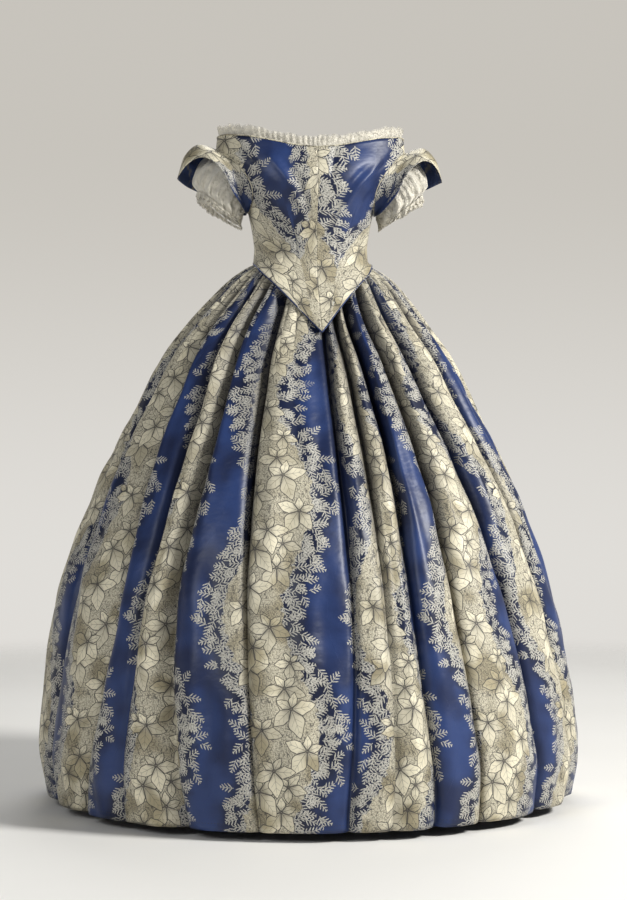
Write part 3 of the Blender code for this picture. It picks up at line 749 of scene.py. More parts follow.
def spray_group(period):
    """Node group: the cover of one layer of sprays, each whole and pointing out from the column."""
    tree, (u, v, salt, reach) = new_group("spray_layer", "u v salt reach", "cover")
    x, y = u / SPRAY_CELL + salt, v / SPRAY_CELL - salt
    inputs = {"Vector": vector_of(x, y), "Scale": 1.0}
    layer = add_node(tree, "TexVoronoi", inputs, voronoi_dimensions="2D")
    middle_x, middle_y, _ = parts_of(layer.outputs["Position"])
    tints = add_node(tree, "SeparateColor", {0: layer.outputs["Color"]})
    first, second = Number(tints.outputs[0]), Number(tints.outputs[1])
    swing = swing_at((middle_y + salt) * SPRAY_CELL)
    off = ((middle_x - salt) * SPRAY_CELL - swing).wrapped(period / 2, -period / 2)
    shown = step(abs(off) + first * SPRAY_STRAY - reach, 0.0, 0.0005, 1.0, 0.0)
    turn = second * 2.3 - 1.45
    sine, cosine = turn.sine(), turn.cosine()
    right, up = (x - middle_x) * off.sign(), y - middle_y
    along = right * cosine + up * sine + SPRAY_LENGTH / 2
    side = abs(up * cosine - right * sine)
    station = along - side * LEAFLET_FORWARD
    taper = (SPRAY_TAPER - station / SPRAY_LENGTH).at_least(0.0).root()
    off_middle = side / (taper * SPRAY_WIDTH) * 2.0 - 1.0
    thickness = (1.0 - off_middle * off_middle).at_least(0.0).root()
    pair = abs((station / LEAFLET_SPACING).fraction() - 0.5)
    leaflet = step(thickness * LEAFLET_THICKNESS - pair, 0.0, 0.06)
    stem = step(side, 0.014, 0.036, 0.9, 0.0)
    grown = step(station, 0.0, 0.02) * step(along, SPRAY_LENGTH, SPRAY_LENGTH + 0.06, 1.0, 0.0)
    return end_group(tree, leaflet.at_least(stem) * grown * shown)


def figure(u, v, groups, period):
    """The woven figure: how much cream thread covers the ground, its tone, how leafy it is, and how
    dark the ground is between the sprays."""
    leaf_cluster, spray_layer = groups
    off = (u - swing_at(v)).wrapped(period / 2, -period / 2)
    place = vector_of(u, v)
    reach = abs(off) + (noise(place, 55.0) - 0.5) * 0.030
    core = step(reach, COLUMN_CORE, COLUMN_CORE + 0.003, 1.0, 0.0)
    # Between the leaf clusters the cloth is mottled, with short wandering lines.
    wander = abs(noise(turned(u, v, 10, 0.0085, 0.0120), 1.0, 1.5) - 0.5)
    filling_line = step(wander, 0.010, 0.045, 0.30, 1.0)
    mottle = step(noise(place, 420.0, 1.0), 0.36, 0.62, 0.50, 0.94)
    tone = mixed(core, mottle, filling_line * mottle * 0.84)
    cover = leafy = core
    for row in SPRAY_LAYERS:
        (grain,) = group_results(spray_layer, u, v, row.salt, row.reach)
        cover = cover.at_least(grain)
    for row in LEAF_ROWS:
        turns = math.radians(row.turn), math.radians(row.turn_stray)
        shape = (row.up, row.across, row.stray, *turns, row.size, REPEAT / CLUSTERS)
        mask, leaf_tone = group_results(leaf_cluster, u, v, *shape)
        tone = mixed(mask, tone, leaf_tone)
        cover, leafy = cover.at_least(mask), leafy.at_least(mask)
    dark_ground = step(reach, COLUMN_REACH - 0.030, COLUMN_REACH + 0.004, 1.0, 0.0)
    return cover, tone, leafy, dark_ground


def brocade(name, groups, period):
    """Silk with a cream figure on a blue satin ground."""
    made, tree, shader = new_material(name)
    uv, u, v = cloth_place(tree, period)
    cover, tone, leafy, dark_ground = figure(u, v, groups, period)
    ground = mixed_colour(step(noise(uv, 9.0), 0.30, 0.65), BLUE_DEEP, BLUE)
    ground = mixed_colour(dark_ground * 0.80, ground, NAVY)
    warm = step(noise(uv, 16.0, 1.0), 0.42, 0.72) * step(v, 0.25, 0.95, 0.85, 0.35)
    thread = mixed_colour(leafy, SPRIG, mixed_colour(warm, CREAM, TAN))
    colour = mixed_colour(cover, ground, mixed_colour(tone, INK, thread))
    # A row of small stitches holds the hem.
    stitch = step(abs(v - HEM_STITCH_HEIGHT), 0.0003, 0.0007, 1.0, 0.0)
    dash = abs((u / HEM_STITCH_SPACING).fraction() - 0.5)
    stitch *= step(dash, 0.18, 0.26, 1.0, 0.0)
    colour = mixed_colour(stitch * 0.7, colour, INK)
    # Painted shade: the colour darkens towards navy along the valleys and in the pleats near the
    # waist, where silk that meets silk gets little light.
    valley = add_node(tree, "Attribute", {}, attribute_name="valley").outputs["Fac"]
    colour = mixed_colour(Number(valley) * VALLEY_PAINTED_SHADE, colour, NAVY)
    finish = {"Specular IOR Level": 0.35, "Sheen Weight": 0.04, "Sheen Roughness": 0.35}
    set_inputs(shader, {"Base Color": colour, "Roughness": mixed(cover, 0.42, 0.55), **finish})
    # Fine ribs of the weave, and the small crumples of crisp silk.
    rib = noise(turned(u, v, 0, 0.009, 0.0016), 1.0, 1.0)
    crumpled = noise(turned(u, v, 12, 0.034, 0.020), 1.0)
    add_bump(shader, rib * 0.00006 + crumpled * 0.0013 - stitch * 0.0002, 1.0, 0.8)
    return made


def reverse_cloth():
    """The back of the figured silk: dull blue with loose threads of the figure."""
    made, tree, shader = new_material("silk_reverse")
    uv = cloth_uv(tree)
    colour = mixed_colour(step(noise(uv, 60.0, 3.0), 0.50, 0.72), REVERSE_BLUE, REVERSE_THREAD)
    set_inputs(shader, {"Base Color": colour, "Roughness": 0.75})
    add_bump(shader, noise(uv, 900.0), 0.0006)
    return made


def net_cloth(name, ragged):
    """Fine silk net, seen through a little, with its mesh as a bump. A ragged one frays out towards
    its free edge, where the cloth's own height is 0."""
    made, tree, shader = new_material(name)
    place = place_in(tree, "Object")
    pale = tuple(min(1.0, c * 1.25) for c in NET_COLOUR)
    colour = mixed_colour(step(noise(place, 55.0, 4.0, solid=True), 0.35, 0.68), NET_COLOUR, pale)
    alpha = 0.84
    if ragged:
        u, v, _ = parts_of(cloth_uv(tree))
        threads = noise(vector_of(u * 900.0, v * 220.0), 1.0) * 0.010
        alpha = step(v + threads, 0.0020, 0.0130, 0.0, 0.78)
    finish = {"Roughness": 0.85, "Specular IOR Level": 0.2, "Sheen Weight": 0.5}
    set_inputs(shader, {"Base Color": colour, "Alpha": alpha, **finish})
    fine = noise(place, 1300.0, 1.0, solid=True)
    swirl = noise(place, 95.0, 4.0, 0.62, 1.4, solid=True)
    add_bump(shader, fine * 0.5 + swirl * 9.0, 0.001)
    return made


# The skirt.


def oval(angle, side, front, back):
    a = np.radians(angle)
    depth = np.where(np.cos(a) > 0, front, back)
    return side * np.sin(a), -depth * np.cos(a)


def skirt_outline(angle, drop):
    """(x, y) over the skirt's folds."""
    side = np.where(wrapped(angle) > 0, skirt_left(drop), skirt_right(drop))
    return oval(angle, side, skirt_front(drop), skirt_back(drop))


def skirt_drops():
    """Heights of the mesh's rows as drops, close together at the pleats, from the hem up."""
    drops = [0.0]
    while drops[-1] < SKIRT_LENGTH:
        drops.append(drops[-1] + ROW_STEP + ROW_GROWTH * float(eased(0.0, PLEAT_FADE, drops[-1])))
    drops = np.array(drops) * SKIRT_LENGTH / drops[-1]
    return drops[::-1]


def valley_tables(drops):
    """Each valley's angle and depth at the drops. The first comes again a turn later."""
    angles, depths = [], []
    for fold in FOLDS:
        angles.append(Curve(FOLD_DROPS, fold[:4])(drops))
        upper, lower = fold.upper_depth, fold.lower_depth
        values = (0.0, 0.2 * upper, 0.8 * upper, upper, lower, 0.8 * lower)
        depths.append(Curve(FOLD_DEPTH_DROPS, values)(drops))
    angles.append(angles[0] + 360.0)
    depths.append(depths[0])
    return np.array(angles), np.array(depths)


def crease_depth(crease, share, angle, radius):
    """How far in a crease goes at angles a share of the way down it."""
    line = crease.top_angle + (crease.low_angle - crease.top_angle) * share
    off = np.radians(wrapped(angle - line)) * radius / crease.width
    return crease.depth * np.exp(-off * off)


def skirt_creases(angle, drop, radius):
    total = np.zeros_like(angle)
    for crease in CREASES:
        share = (drop - crease.top_drop) / (crease.low_drop - crease.top_drop)
        ends = 0.12 if crease.low_drop < SKIRT_LENGTH else 1e-6
        window = eased(0.0, 0.25, share) * eased(1.0 + ends, 1.0 - 2 * ends, share)
        total += crease_depth(crease, share, angle, radius) * window
    return total


def crumple(u, v):
    """Small waves that run every way over the cloth."""
    total = np.zeros_like(u)
    for _ in range(CRUMPLE_WAVES):
        wavelength = random.uniform(*CRUMPLE_LENGTHS)
        heading = random.normal(0.0, CRUMPLE_TURN)
        phase = random.uniform(0.0, TURN)
        wave = (u * math.cos(heading) + v * math.sin(heading)) * (TURN / wavelength)
        total += np.sin(wave + phase) * (wavelength / 0.09)
    return total / math.sqrt(CRUMPLE_WAVES)


Skirt = namedtuple("Skirt", "points outline angle drop fold share deep")


def skirt_surface():
    """The skirt's points, row by row from the hem up, the points of its outline without the folds,
    each column's fold and its share of that, and the shade painted on each point along the valleys
    and in the pleats near the waist."""
    drops = skirt_drops()
    fold, share = [], []
    for number, row in enumerate(FOLDS):
        count = PLEAT_COLUMNS * row.pleats
        fold += [number] * count
        share += [i / count for i in range(count)]
    fold.append(len(FOLDS) - 1)
    share.append(1.0)
    fold, share = np.array(fold), np.array(share)
    angles, depths = valley_tables(drops)
    low, high = angles[fold].T, angles[fold + 1].T
    angle = low + (high - low) * share
    depth = (depths[fold].T * (1 - share) + depths[fold + 1].T * share) * FOLD_DEPTH
    drop = np.repeat(drops[:, None], len(share), axis=1)
    pleats = np.array([row.pleats for row in FOLDS])[fold]
    wave = 1.0 - np.abs(np.sin(math.pi * pleats * share)) ** PLEAT_ROUNDNESS
    fade = np.clip(1.0 - drop / PLEAT_FADE, 0.0, 1.0)
    ridge = np.sin(math.pi * share) ** FOLD_ROUNDNESS
    radius = np.hypot(*skirt_outline(angle, drop))
    inwards = depth * (1.0 - ridge) + PLEAT_DEPTH * fade * wave
    inwards += skirt_creases(angle, drop, radius)
    # A narrow crease runs down each valley, and the folds lean over it to one side.
    from_valley = np.minimum(share, 1.0 - share) * np.radians(high - low) * radius
    narrow = np.exp(-((from_valley / VALLEY_CREASE_WIDTH) ** 2))
    fading = 1.0 - CREASE_LOSS * eased(*CREASE_FADE, drop)
    inwards += VALLEY_CREASE * narrow * eased(*CREASE_START, drop) * fading
    angle = angle - np.degrees(FOLD_LEAN * depth * ridge / radius)
    x, y = skirt_outline(angle, drop)
    radius = np.hypot(x, y)
    calm = eased(*CRUMPLE_START, drop)
    inwards += CRUMPLE_DEPTH * calm * crumple(np.radians(angle) * radius, drop)
    inwards += HEM_ROLL * eased(SKIRT_LENGTH - HEM_ROLL_HEIGHT, SKIRT_LENGTH, drop) ** 2
    scale = 1.0 - inwards / radius
    outline = np.stack([x, y, -drop], axis=-1)
    points = np.stack([x * scale, y * scale, -drop], axis=-1)
    # Painted shade: a soft band along each valley that fades lower down, and the pleats near the
    # waist, to darken the silk's colour.
    valley_band_shade = np.exp(-((from_valley / VALLEY_SHADE_WIDTH) ** 2)) * eased(*SHADE_START, drop)
    deep = valley_band_shade * (1.0 - SHADE_LOSS * eased(*SHADE_FADE, drop)) + PLEAT_SHADE * fade * wave
    return Skirt(points, outline, angle, drop, fold, share, np.minimum(deep, 1.0))


def skirt_cloth_places(skirt):
    """Each cell's corners on the flat cloth, and the columns' spacing. Cloth that a row doesn't
    show is hidden in the pleats' valleys near the waist, and in the large folds' below them."""
    points, outline, angle, drop, fold, share, _ = skirt
    steps = length_of(np.diff(points, axis=1))
    arc = np.concatenate([np.zeros((len(points), 1)), np.cumsum(steps, axis=1)], axis=1)
    starts = np.searchsorted(fold, np.arange(len(FOLDS)))
    ends = np.append(starts[1:], len(fold) - 1)
    widths = (arc[:, ends] - arc[:, starts]).max(0) * FOLD_SPARE
    begins = np.concatenate([[0.0], np.cumsum(widths)])
    cell_fold = fold[:-1]
    pleats = np.array([row.pleats for row in FOLDS])[cell_fold]
    pleat = np.floor(share[:-1] * pleats + 1e-6).astype(int)
    fold_middle = (arc[:, starts] + arc[:, ends])[:, cell_fold] / 2
    pleat_middle = arc[:, starts[cell_fold] + pleat * PLEAT_COLUMNS + PLEAT_COLUMNS // 2]
    by_fold = begins[cell_fold] + widths[cell_fold] / 2 - fold_middle
    by_pleat = begins[cell_fold] + widths[cell_fold] * (pleat + 0.5) / pleats - pleat_middle
    spread = eased(*HIDDEN_MOVES, drop[:, :-1])
    shift = by_pleat * (1 - spread) + by_fold * spread
    left, right = arc[:, :-1] + shift, arc[:, 1:] + shift
    rises = length_of(np.diff(outline, axis=0))
    up = np.concatenate([np.zeros((1, rises.shape[1])), np.cumsum(rises, axis=0)])
    u = np.stack([left[:-1], right[:-1], right[1:], left[1:]], axis=2)
    places = np.stack([u, cell_values(up)], axis=-1)
    row = np.argmin(np.abs(drop[:, 0] - FRONT_COLUMN_DROP))
    column = np.argmin(np.abs(angle[row, :-1] - FRONT_COLUMN_ANGLE))
    places[..., 0] -= left[row, column]
    period = begins[-1] / SKIRT_COLUMNS
    # Near the waist the pleats take up part of the blue between the columns.
    up = places[..., 1]
    between = (places[..., 0] - swing_at(up)) / period - 0.5
    gap = np.round(between)
    off = (between - gap) * period
    share = np.ones_like(off)
    for number, weight in WAIST_BLUE:
        share = np.where(gap == number, weight, share)
    low, high = (SKIRT_LENGTH - below for below in WAIST_TAKEN_DROPS)
    top = eased(low, high, up - up.max() + SKIRT_LENGTH)
    taken = WAIST_TAKEN * share * top * (1.0 - 2.0 * np.abs(off) / period)
    places[..., 0] += taken * np.tanh(off / PLEAT_SOFTNESS)
    return places, period


# The bodice.


def bodice_point(angle, height):
    """The bodice's outer surface, with its waist rounded off."""
    height = height + 0.0 * angle
    points = bodice_shape(angle, height)
    rounded = sum(bodice_shape(angle, height + step) * weight for step, weight in WAIST_WEIGHTS)
    rounded /= sum(weight for _, weight in WAIST_WEIGHTS)
    forward = eased(*WAIST_FRONT, np.abs(wrapped(angle)))
    share = (np.exp(-((height / WAIST_REACH) ** 2)) * forward)[..., None]
    points = points * (1 - share) + rounded * share
    points[..., 2] = height
    return points


def bodice_shape(angle, height):
    """The bodice's outer surface as it is on the solids."""
    over = np.maximum(height, 0.0)
    x, y = oval(angle, bodice_side(over), bodice_front(over), bodice_back(over))
    squareness = SHOULDER_SQUARENESS * np.minimum(1.0, over / BODICE_ROWS[-1].height)
    share = 1.0 + squareness * np.sin(2 * np.radians(angle)) ** 2
    across = (np.abs(wrapped(angle)) - CUP_ANGLE) / CUP_SPREAD_ANGLE
    up = (over - CUP_HEIGHT) / CUP_SPREAD_HEIGHT
    share += CUP_RISE * np.exp(-across * across - up * up) / np.hypot(x, y)
    below_x, below_y = skirt_outline(angle, np.maximum(-height, 0.0))
    x = np.where(height < 0, below_x, x * share)
    y = np.where(height < 0, below_y, y * share)
    # Over the skirt, the bodice's wall rests on it with a small gap, square to its slope.
    drop = np.maximum(-height, 0.0)
    upper, lower = (np.hypot(*skirt_outline(angle, drop + step)) for step in (0.0, SLOPE_STEP))
    slope = (lower - upper) / SLOPE_STEP
    clearance = (SOLID_WALL + REST_GAP) * np.sqrt(1.0 + slope * slope)
    fade = np.clip(height / REST_FADE, 0.0, 1.0)
    clearance = clearance * (1.0 - fade) + SOLID_WALL * fade
    scale = 1.0 + clearance / np.hypot(x, y)
    return np.stack([x * scale, y * scale, height + 0.0 * angle], axis=-1)


def armhole_share(angle):
    q = (np.abs(wrapped(angle)) - ARMHOLE_ANGLE) / ARMHOLE_HALF_ANGLE
    return np.sqrt(np.maximum(0.0, 1.0 - q * q))


def armhole_angle(turn):
    return ARMHOLE_ANGLE - ARMHOLE_HALF_ANGLE * math.sin(math.radians(turn))


def armhole_edge(turn, side, inset):
    """Points on an armhole's edge, moved in towards its middle. Turn 0 is at the shoulder."""
    a = np.radians(turn)
    angle = ARMHOLE_ANGLE - ARMHOLE_HALF_ANGLE * np.sin(a)
    reach = np.where(np.cos(a) > 0, ARMHOLE_RISE, ARMHOLE_FALL)
    edge = bodice_point(side * angle, ARMHOLE_MIDDLE + reach * np.cos(a))
    middle = bodice_point(np.array([side * ARMHOLE_ANGLE]), np.array([ARMHOLE_MIDDLE]))[0]
    return edge + unit(middle - edge) * inset


def sleeve_ring(table, along, turn, side):
    inner_x, inner_z, outer_x, outer_z, depth = (curve(along) for curve in table)
    a = np.radians(turn)
    across = 0.5 + 0.5 * np.cos(a)
    x = inner_x + (outer_x - inner_x) * across
    z = inner_z + (outer_z - inner_z) * across
    return np.stack([side * x, -depth * np.sin(a), z], axis=-1)


def sleeve_point(table, along, turn, side, inset):
    """A sleeve's outer surface, which starts at the armhole's edge and becomes plain rings."""
    ring = sleeve_ring(table, along, turn, side)
    share = (1.0 - np.maximum(0.0, 1.0 - along / ARMHOLE_BLEND) ** 2)[..., None]
    return armhole_edge(turn, side, inset) * (1 - share) + ring * share


def moved_in(points, table, along, turn, side, inwards):
    middle = sum(sleeve_ring(table, along, turn + half, side) for half in (0, 180)) / 2
    return points + unit(middle - points) * inwards[..., None]


def bodice_cloth_places(points, angle, height, side, period):
    """Each cell's corners on the cloth, with its grain upright and each half the other way round. A
    dart takes up cloth between one cell and the next."""
    x = points[..., 0]
    turn = np.abs(wrapped(angle))
    forward = turn < ARMHOLE_ANGLE
    around = np.radians(np.where(forward, turn, 180.0 - turn)) * BODICE_GIRTH_RADIUS
    spread = np.abs(x)
    reach = np.where(around > spread, 0.5 * (around + spread), spread)
    below = np.where(forward, 0.0 if side > 0 else RIGHT_BELOW, BACK_BELOW)
    v = BULGE_HEIGHT + REPEAT - below - (BODICE_TOP - height)
    across, taken = columns(CUT_LEFT if side > 0 else CUT_RIGHT)
    inside, outside = CLOSENESS_LEFT if side > 0 else CLOSENESS_RIGHT
    off = reach - across(height)
    off = off * np.where(off < 0, inside, outside)
    u = np.where(forward, off + swing_at(v), reach - BACK_CUT) + period / 2
    if side < 0:
        v = v + REPEAT / 2
    values = cell_values(np.stack([u, v, off, np.where(forward, taken(height), 0.0)], axis=-1))
    beyond = np.sign(values[..., 2].mean(axis=2, keepdims=True))
    return np.stack([side * (values[..., 0] + beyond * values[..., 3]), values[..., 1]], axis=-1)


def bodice_folds(angle, height, side):
    """How far in the bodice lies at its darts and at the soft creases of wear."""
    turn = np.abs(wrapped(angle))
    total = np.zeros_like(turn)
    for crease in [row for row in BODICE_CREASES if row.side in (0, side)]:
        share = (crease.top_height - height) / (crease.top_height - crease.low_height)
        window = eased(0.0, 0.20, share) * eased(1.0, 0.80, share)
        total += crease_depth(crease, share, turn, BODICE_GIRTH_RADIUS) * window
    return total


def panel_cells(side, first, last, low, high, rows, columns_count):
    """A stretch of the bodice between two angles and two edges, as cells' angles and heights."""
    across = np.linspace(first, last, columns_count + 1)
    if side < 0:
        across = -across[::-1]
    share = np.linspace(0.0, 1.0, rows + 1)[:, None]
    bottom, top = low(np.abs(across)), high(np.abs(across))
    height = bottom + (top - bottom) * share
    angle = np.repeat(across[None], rows + 1, axis=0)
    return angle, height


def armhole_bottom(angle):
    return ARMHOLE_MIDDLE - ARMHOLE_FALL * armhole_share(angle)


def armhole_top(angle):
    return ARMHOLE_MIDDLE + ARMHOLE_RISE * armhole_share(angle)


def panel_stretches(kind):
    """The stretches of a panel: its first and last angle, its edges, and its rows and columns."""
    front_edge = ARMHOLE_ANGLE - ARMHOLE_HALF_ANGLE
    back_edge = ARMHOLE_ANGLE + ARMHOLE_HALF_ANGLE
    side_front, side_back = armhole_angle(SIDE_FRONT_TURN), armhole_angle(SIDE_BACK_TURN)
    if kind == "front":
        return (
            (0.0, front_edge, lower_edge, armhole_bottom, 56, 72),
            (0.0, front_edge, armhole_top, neck_edge, 10, 72),
            (front_edge, side_front, lower_edge, armhole_bottom, 40, 12),
            (front_edge, side_front, armhole_top, neck_edge, 10, 12),
            (side_front, ARMHOLE_ANGLE, armhole_top, neck_edge, 10, 16),
        )
    if kind == "side":
        return ((side_front, side_back, lower_edge, armhole_bottom, 30, 24),)
    return (
        (back_edge, 180.0, lower_edge, armhole_bottom, 40, 32),
        (back_edge, 180.0, armhole_top, neck_edge, 10, 32),
        (side_back, back_edge, lower_edge, armhole_bottom, 40, 16),
        (side_back, back_edge, armhole_top, neck_edge, 10, 16),
        (ARMHOLE_ANGLE, side_back, armhole_top, neck_edge, 10, 12),
    )


def make_bodice(silk, period):
    for (side, word), panel in product(SIDES, BODICE_PANELS):
        corners, uvs = [], []
        for stretch in panel_stretches(panel.kind):
            angle, height = panel_cells(side, *stretch)
            points = bodice_point(angle, height)
            uvs.append(flat_cells(bodice_cloth_places(points, angle, height, side, period)))
            inwards = bodice_folds(angle, height, side) / np.hypot(points[..., 0], points[..., 1])
            points[..., :2] *= (1.0 - inwards)[..., None]
            corners.append(cells_of(points))
        node, flat = f"bodice_{panel.kind}_{word}", (panel.width, panel.length)
        corners, uvs = np.concatenate(corners), np.concatenate(uvs)
        make_piece(node, silk, corners, uvs)


def make_skirt(silk, skirt, places):
    # The painted valley shade goes with each breadth's corners.
    corners, deep = cell_values(skirt.points), cell_values(skirt.deep)
    for node, first, last in zip(BREADTH_NAMES, BREADTH_SEAMS, BREADTH_SEAMS[1:]):
        chosen = (skirt.fold[:-1] >= first) & (skirt.fold[:-1] < last)
        breadth, breadth_uvs = flat_cells(corners[:, chosen]), flat_cells(places[:, chosen])
        make_piece(node, silk, breadth, breadth_uvs, deep=deep[:, chosen])


def sleeve_cells(side, steps, rings):
    """Turns and heights of a sleeve's grid. A left sleeve's turns run backwards, faces out."""
    turn = np.linspace(0.0, 360.0, steps + 1)
    return np.meshgrid(turn[::-side], np.linspace(0.0, 1.0, rings + 1))


def sleeve_places(turn, height, size):
    return cells_of(np.stack([turn / 360.0 * size[0], height * size[1]], axis=-1))


def make_cap(side, word, silk):
    turn, height = sleeve_cells(side, 160, 26)
    along = (1.0 - height) * cap_length(turn % 360.0)
    points = sleeve_point(cap_table, along, turn, side, CAP_INSET)
    flute = 0.5 + 0.5 * np.cos(np.radians(turn) * CAP_FLUTES)
    outwards = CAP_FLUTE_DEPTH * flute * np.maximum(0.0, along - 0.2)
    points = moved_in(points, cap_table, along, turn, side, -outwards)
    places = sleeve_places(turn, height, CAP_FLAT) - (SLEEVE_CUT, 0.0)
    make_piece(f"sleeve_cap_{word}", silk, cells_of(points), places)


def make_puff(side, word, net):
    turn, height = sleeve_cells(side, 240, 40)
    along, a = 1.0 - height, np.radians(turn)
    points = sleeve_point(puff_table, along, turn, side, PUFF_INSET)
    gather = 0.5 + 0.5 * np.cos(PUFF_GATHERS * a + 1.2 * np.sin(3 * a + 4 * along))
    # Finer waves run over the gathers.
    fine = np.sin(31 * a + 2.0 * np.sin(5 * a) + 3 * along) * 0.0012
    fine += np.sin(19 * a + 4 * along + 1.0) * 0.0014
    fine += np.sin(13 * a + 9 * along) * np.sin(7 * along + 5 * a) * 0.0016
    inwards = (PUFF_GATHER_DEPTH * gather + fine) * np.minimum(1.0, along * 2)
    points = moved_in(points, puff_table, along, turn, side, inwards)
    places = sleeve_places(turn, height, PUFF_FLAT) - (SLEEVE_CUT, 0.0)
    make_piece(f"sleeve_puff_{word}", net, cells_of(points), places)


def make_cuff(side, word, frayed):
    corners, places = [], []
    turn, height = sleeve_cells(side, 480, 10)
    a = np.radians(turn)
    for layer in FRILL_LAYERS:
        # The free edge is uneven, and shorter on the arm's inner side.
        uneven = 0.10 * np.sin(4 * a + layer.start * 30) + 0.07 * np.sin(9 * a)
        uneven += 0.05 * np.sin(23 * a)
        reach = layer.length * (0.72 + 0.28 * np.cos(a)) + uneven * (0.6 + 0.4 * np.cos(a))
        along = layer.start + (1.0 - height) * reach
        points = sleeve_ring(frill_table, along, turn, side)
        wave = 0.5 + 0.5 * np.cos(layer.waves * a + 1.3 * np.sin(3 * a + layer.start * 9))
        fine = np.sin(61 * a + 2.0 * np.sin(7 * a)) * 0.0013 * (1.0 - height)
        inwards = layer.depth * wave * (0.25 + 0.75 * (1.0 - height)) + fine - layer.outwards
        corners.append(cells_of(moved_in(points, frill_table, along, turn, side, inwards)))
        places.append(sleeve_places(turn, height, FRILL_CUT))
    corners, places = np.concatenate(corners), np.concatenate(places)
    make_piece(f"sleeve_frill_{word}", frayed, corners, places)


def make_neck_frill(frayed):
    angle, row = np.meshgrid(np.linspace(-180.0, 180.0, 1081), np.linspace(0.0, 2.0, 13))
    a = np.radians(angle)
    uneven = 0.0016 * np.sin(7 * a + 1.0) + 0.0014 * np.sin(17 * a) + 0.0012 * np.sin(41 * a)
    rise, inset, depth = (curve(row) for curve in columns(NECK_FRILL_ROWS))
    rise = rise + uneven * np.maximum(row - 1.0, 0.0)
    edge_height = neck_edge(np.abs(wrapped(angle)))
    height = edge_height + rise
    edge = bodice_point(angle, np.minimum(height, edge_height))
    wave = 0.5 + 0.5 * np.cos(NECK_GATHERS * a + 2.4 * np.sin(5 * a) + 1.3 * np.sin(13 * a))
    inwards = NECK_GAP + inset + depth * wave
    share = 1.0 - inwards / np.hypot(edge[..., 0], edge[..., 1])
    points = np.stack([edge[..., 0] * share, edge[..., 1] * share, height], axis=-1)
    places = np.stack([angle / 360.0, (2.0 - row) * NECK_ROW_LENGTH], axis=-1)
    make_piece("neck_frill", frayed, cells_of(points), cells_of(places))


def cord(name, line, place, finish):
    """A fine cord along a closed line of points, with its place on the cloth."""
    along = unit(np.roll(line, -1, axis=0) - np.roll(line, 1, axis=0))
    out = unit(line * np.array([1.0, 1.0, 0.0]))
    out = unit(out - along * (out * along).sum(-1)[:, None])
    across = np.cross(along, out)
    turns = np.linspace(0.0, TURN, CORD_SIDES + 1)
    ring = out[:, None] * np.cos(turns)[:, None] + across[:, None] * np.sin(turns)[:, None]
    points = line[:, None] + ring * PIPING
    points = np.concatenate([points, points[:1]])
    run = np.concatenate([[0.0], np.cumsum(length_of(np.diff(points[:, 0], axis=0)))])
    places = np.broadcast_arrays(place[0] + turns * PIPING, (place[1] + run)[:, None])
    uvs = cells_of(np.stack(places, axis=-1))
    piece = placed(name, quad_mesh(name, *welded(cells_of(points)), uvs, finish))
    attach(piece, "root")


def make_piping(silk):
    """Fine piping on the bodice's lower edge, its neckline and round the armholes."""
    angle = np.linspace(-180.0, 180.0, 721)[:-1]
    low = bodice_point(angle, lower_edge(np.abs(angle)))
    cord("lower_edge_piping", low, LOWER_PIPING, silk.finish)
    top = bodice_point(angle, neck_edge(np.abs(angle)))
    cord("neckline_piping", top, NECK_PIPING, silk.finish)
    turn = np.linspace(0.0, 360.0, 241)[:-1]
    for side, word in SIDES:
        line = armhole_edge(turn, side, -PIPING_OUT)
        cord(f"armhole_{word}_piping", line, ARMHOLE_PIPING, silk.finish)


def make_floor():
    made, tree, shader = new_material("floor")
    place = place_in(tree, "Object")
    x, y, _ = parts_of(place)
    alpha = step((x * x + y * y).root(), FLOOR_FADE, FLOOR_RADIUS, 1.0, 0.0)
    colour = mixed_colour(noise(place, 2.0, 3.0), *FLOOR_COLOURS)
    set_inputs(shader, {"Base Color": colour, "Roughness": 0.8, "Alpha": alpha})
    mesh = bpy.data.meshes.new("floor")
    turns = [TURN * i / FLOOR_SIDES for i in range(FLOOR_SIDES)]
    rim = [(FLOOR_RADIUS * math.cos(t), FLOOR_RADIUS * math.sin(t), FLOOR_HEIGHT) for t in turns]
    mesh.from_pydata(rim, [], [list(range(FLOOR_SIDES))])
    mesh.materials.append(made)
    placed("floor", mesh)


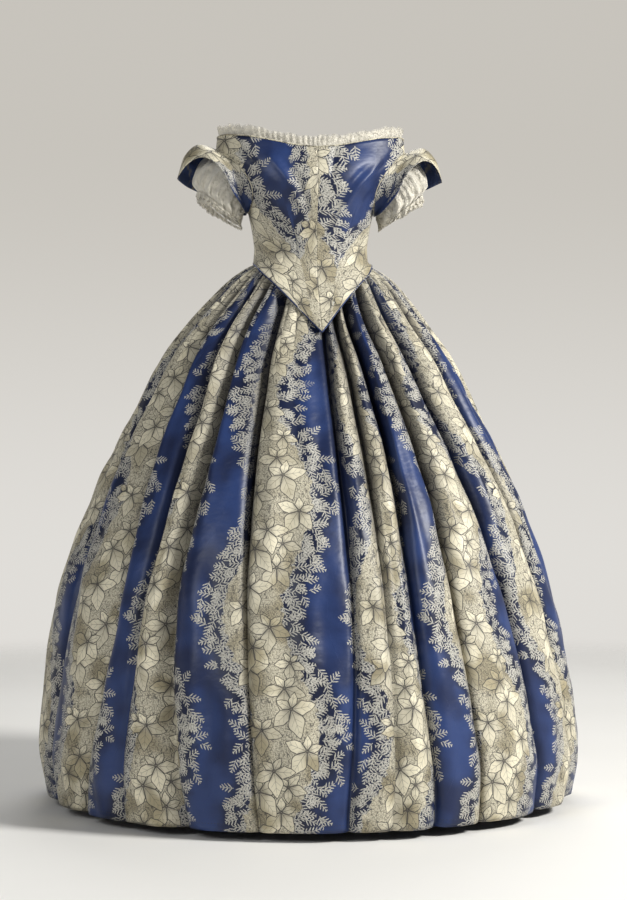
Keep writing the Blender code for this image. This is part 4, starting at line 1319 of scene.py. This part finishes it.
def make_world():
    world = bpy.data.worlds.new("studio")
    bpy.context.scene.world = world
    world.use_nodes = True
    tree = world.node_tree
    _, y, height = parts_of(place_in(tree, "Generated"))
    colour = mixed_colour(step(height, -0.06, 0.15), WALL_LOW, WALL_HIGH)
    # The dome is darker above what shows behind the dress, and in front of the dress.
    colour = mixed_colour(step(height, 0.22, 0.34), colour, DOME_TOP)
    colour = mixed_colour(step(y, -0.35, 0.25, 1.0, 0.0) * 0.75, colour, DOME_FRONT)
    set_inputs(tree.nodes["Background"], {"Color": colour, "Strength": 1.0})


def make_lights():
    for row in LIGHTS:
        data = bpy.data.lights.new(row.name, "AREA")
        data.shape, data.size, data.energy, data.color = "DISK", row.size, row.power, row.colour
        light = placed(row.name, data)
        light.location = row.place
        x, y, z = np.array(row.aim) - row.place
        light.rotation_euler = (math.atan2(math.hypot(x, y), -z), 0.0, math.atan2(-x, y))


def make_camera():
    a = math.radians(CAMERA_AZIMUTH)
    data = bpy.data.cameras.new("camera")
    data.lens = LENS
    camera = placed("camera", data)
    camera.location = (
        CAMERA_DISTANCE * math.sin(a) + CAMERA_RIGHT * math.cos(a),
        -CAMERA_DISTANCE * math.cos(a) + CAMERA_RIGHT * math.sin(a),
        CAMERA_HEIGHT,
    )
    camera.rotation_euler = (math.radians(90.0), 0.0, a)
    bpy.context.scene.camera = camera


def main():
    skirt = skirt_surface()
    places, period = skirt_cloth_places(skirt)
    groups = rosette_group(period), spray_group(period)
    face = brocade("figured_silk_brocade", groups, period)
    silk = Fabric("silk", "figured_silk", SILK, face, reverse_cloth())
    net = Fabric("net", "silk_net", NET, net_cloth("silk_net", False), None)
    frayed = net._replace(finish=net_cloth("silk_net_frayed", True))
    make_skirt(silk, skirt, places)
    make_bodice(silk._replace(thickness=BODICE_WALL), period)
    for side, word in SIDES:
        make_cap(side, word, silk)
        make_puff(side, word, net)
        make_cuff(side, word, frayed)
    make_neck_frill(frayed)
    make_piping(silk)
    make_floor()
    make_world()
    make_lights()
    make_camera()
    bpy.context.scene.view_settings.view_transform = "Standard"


main()
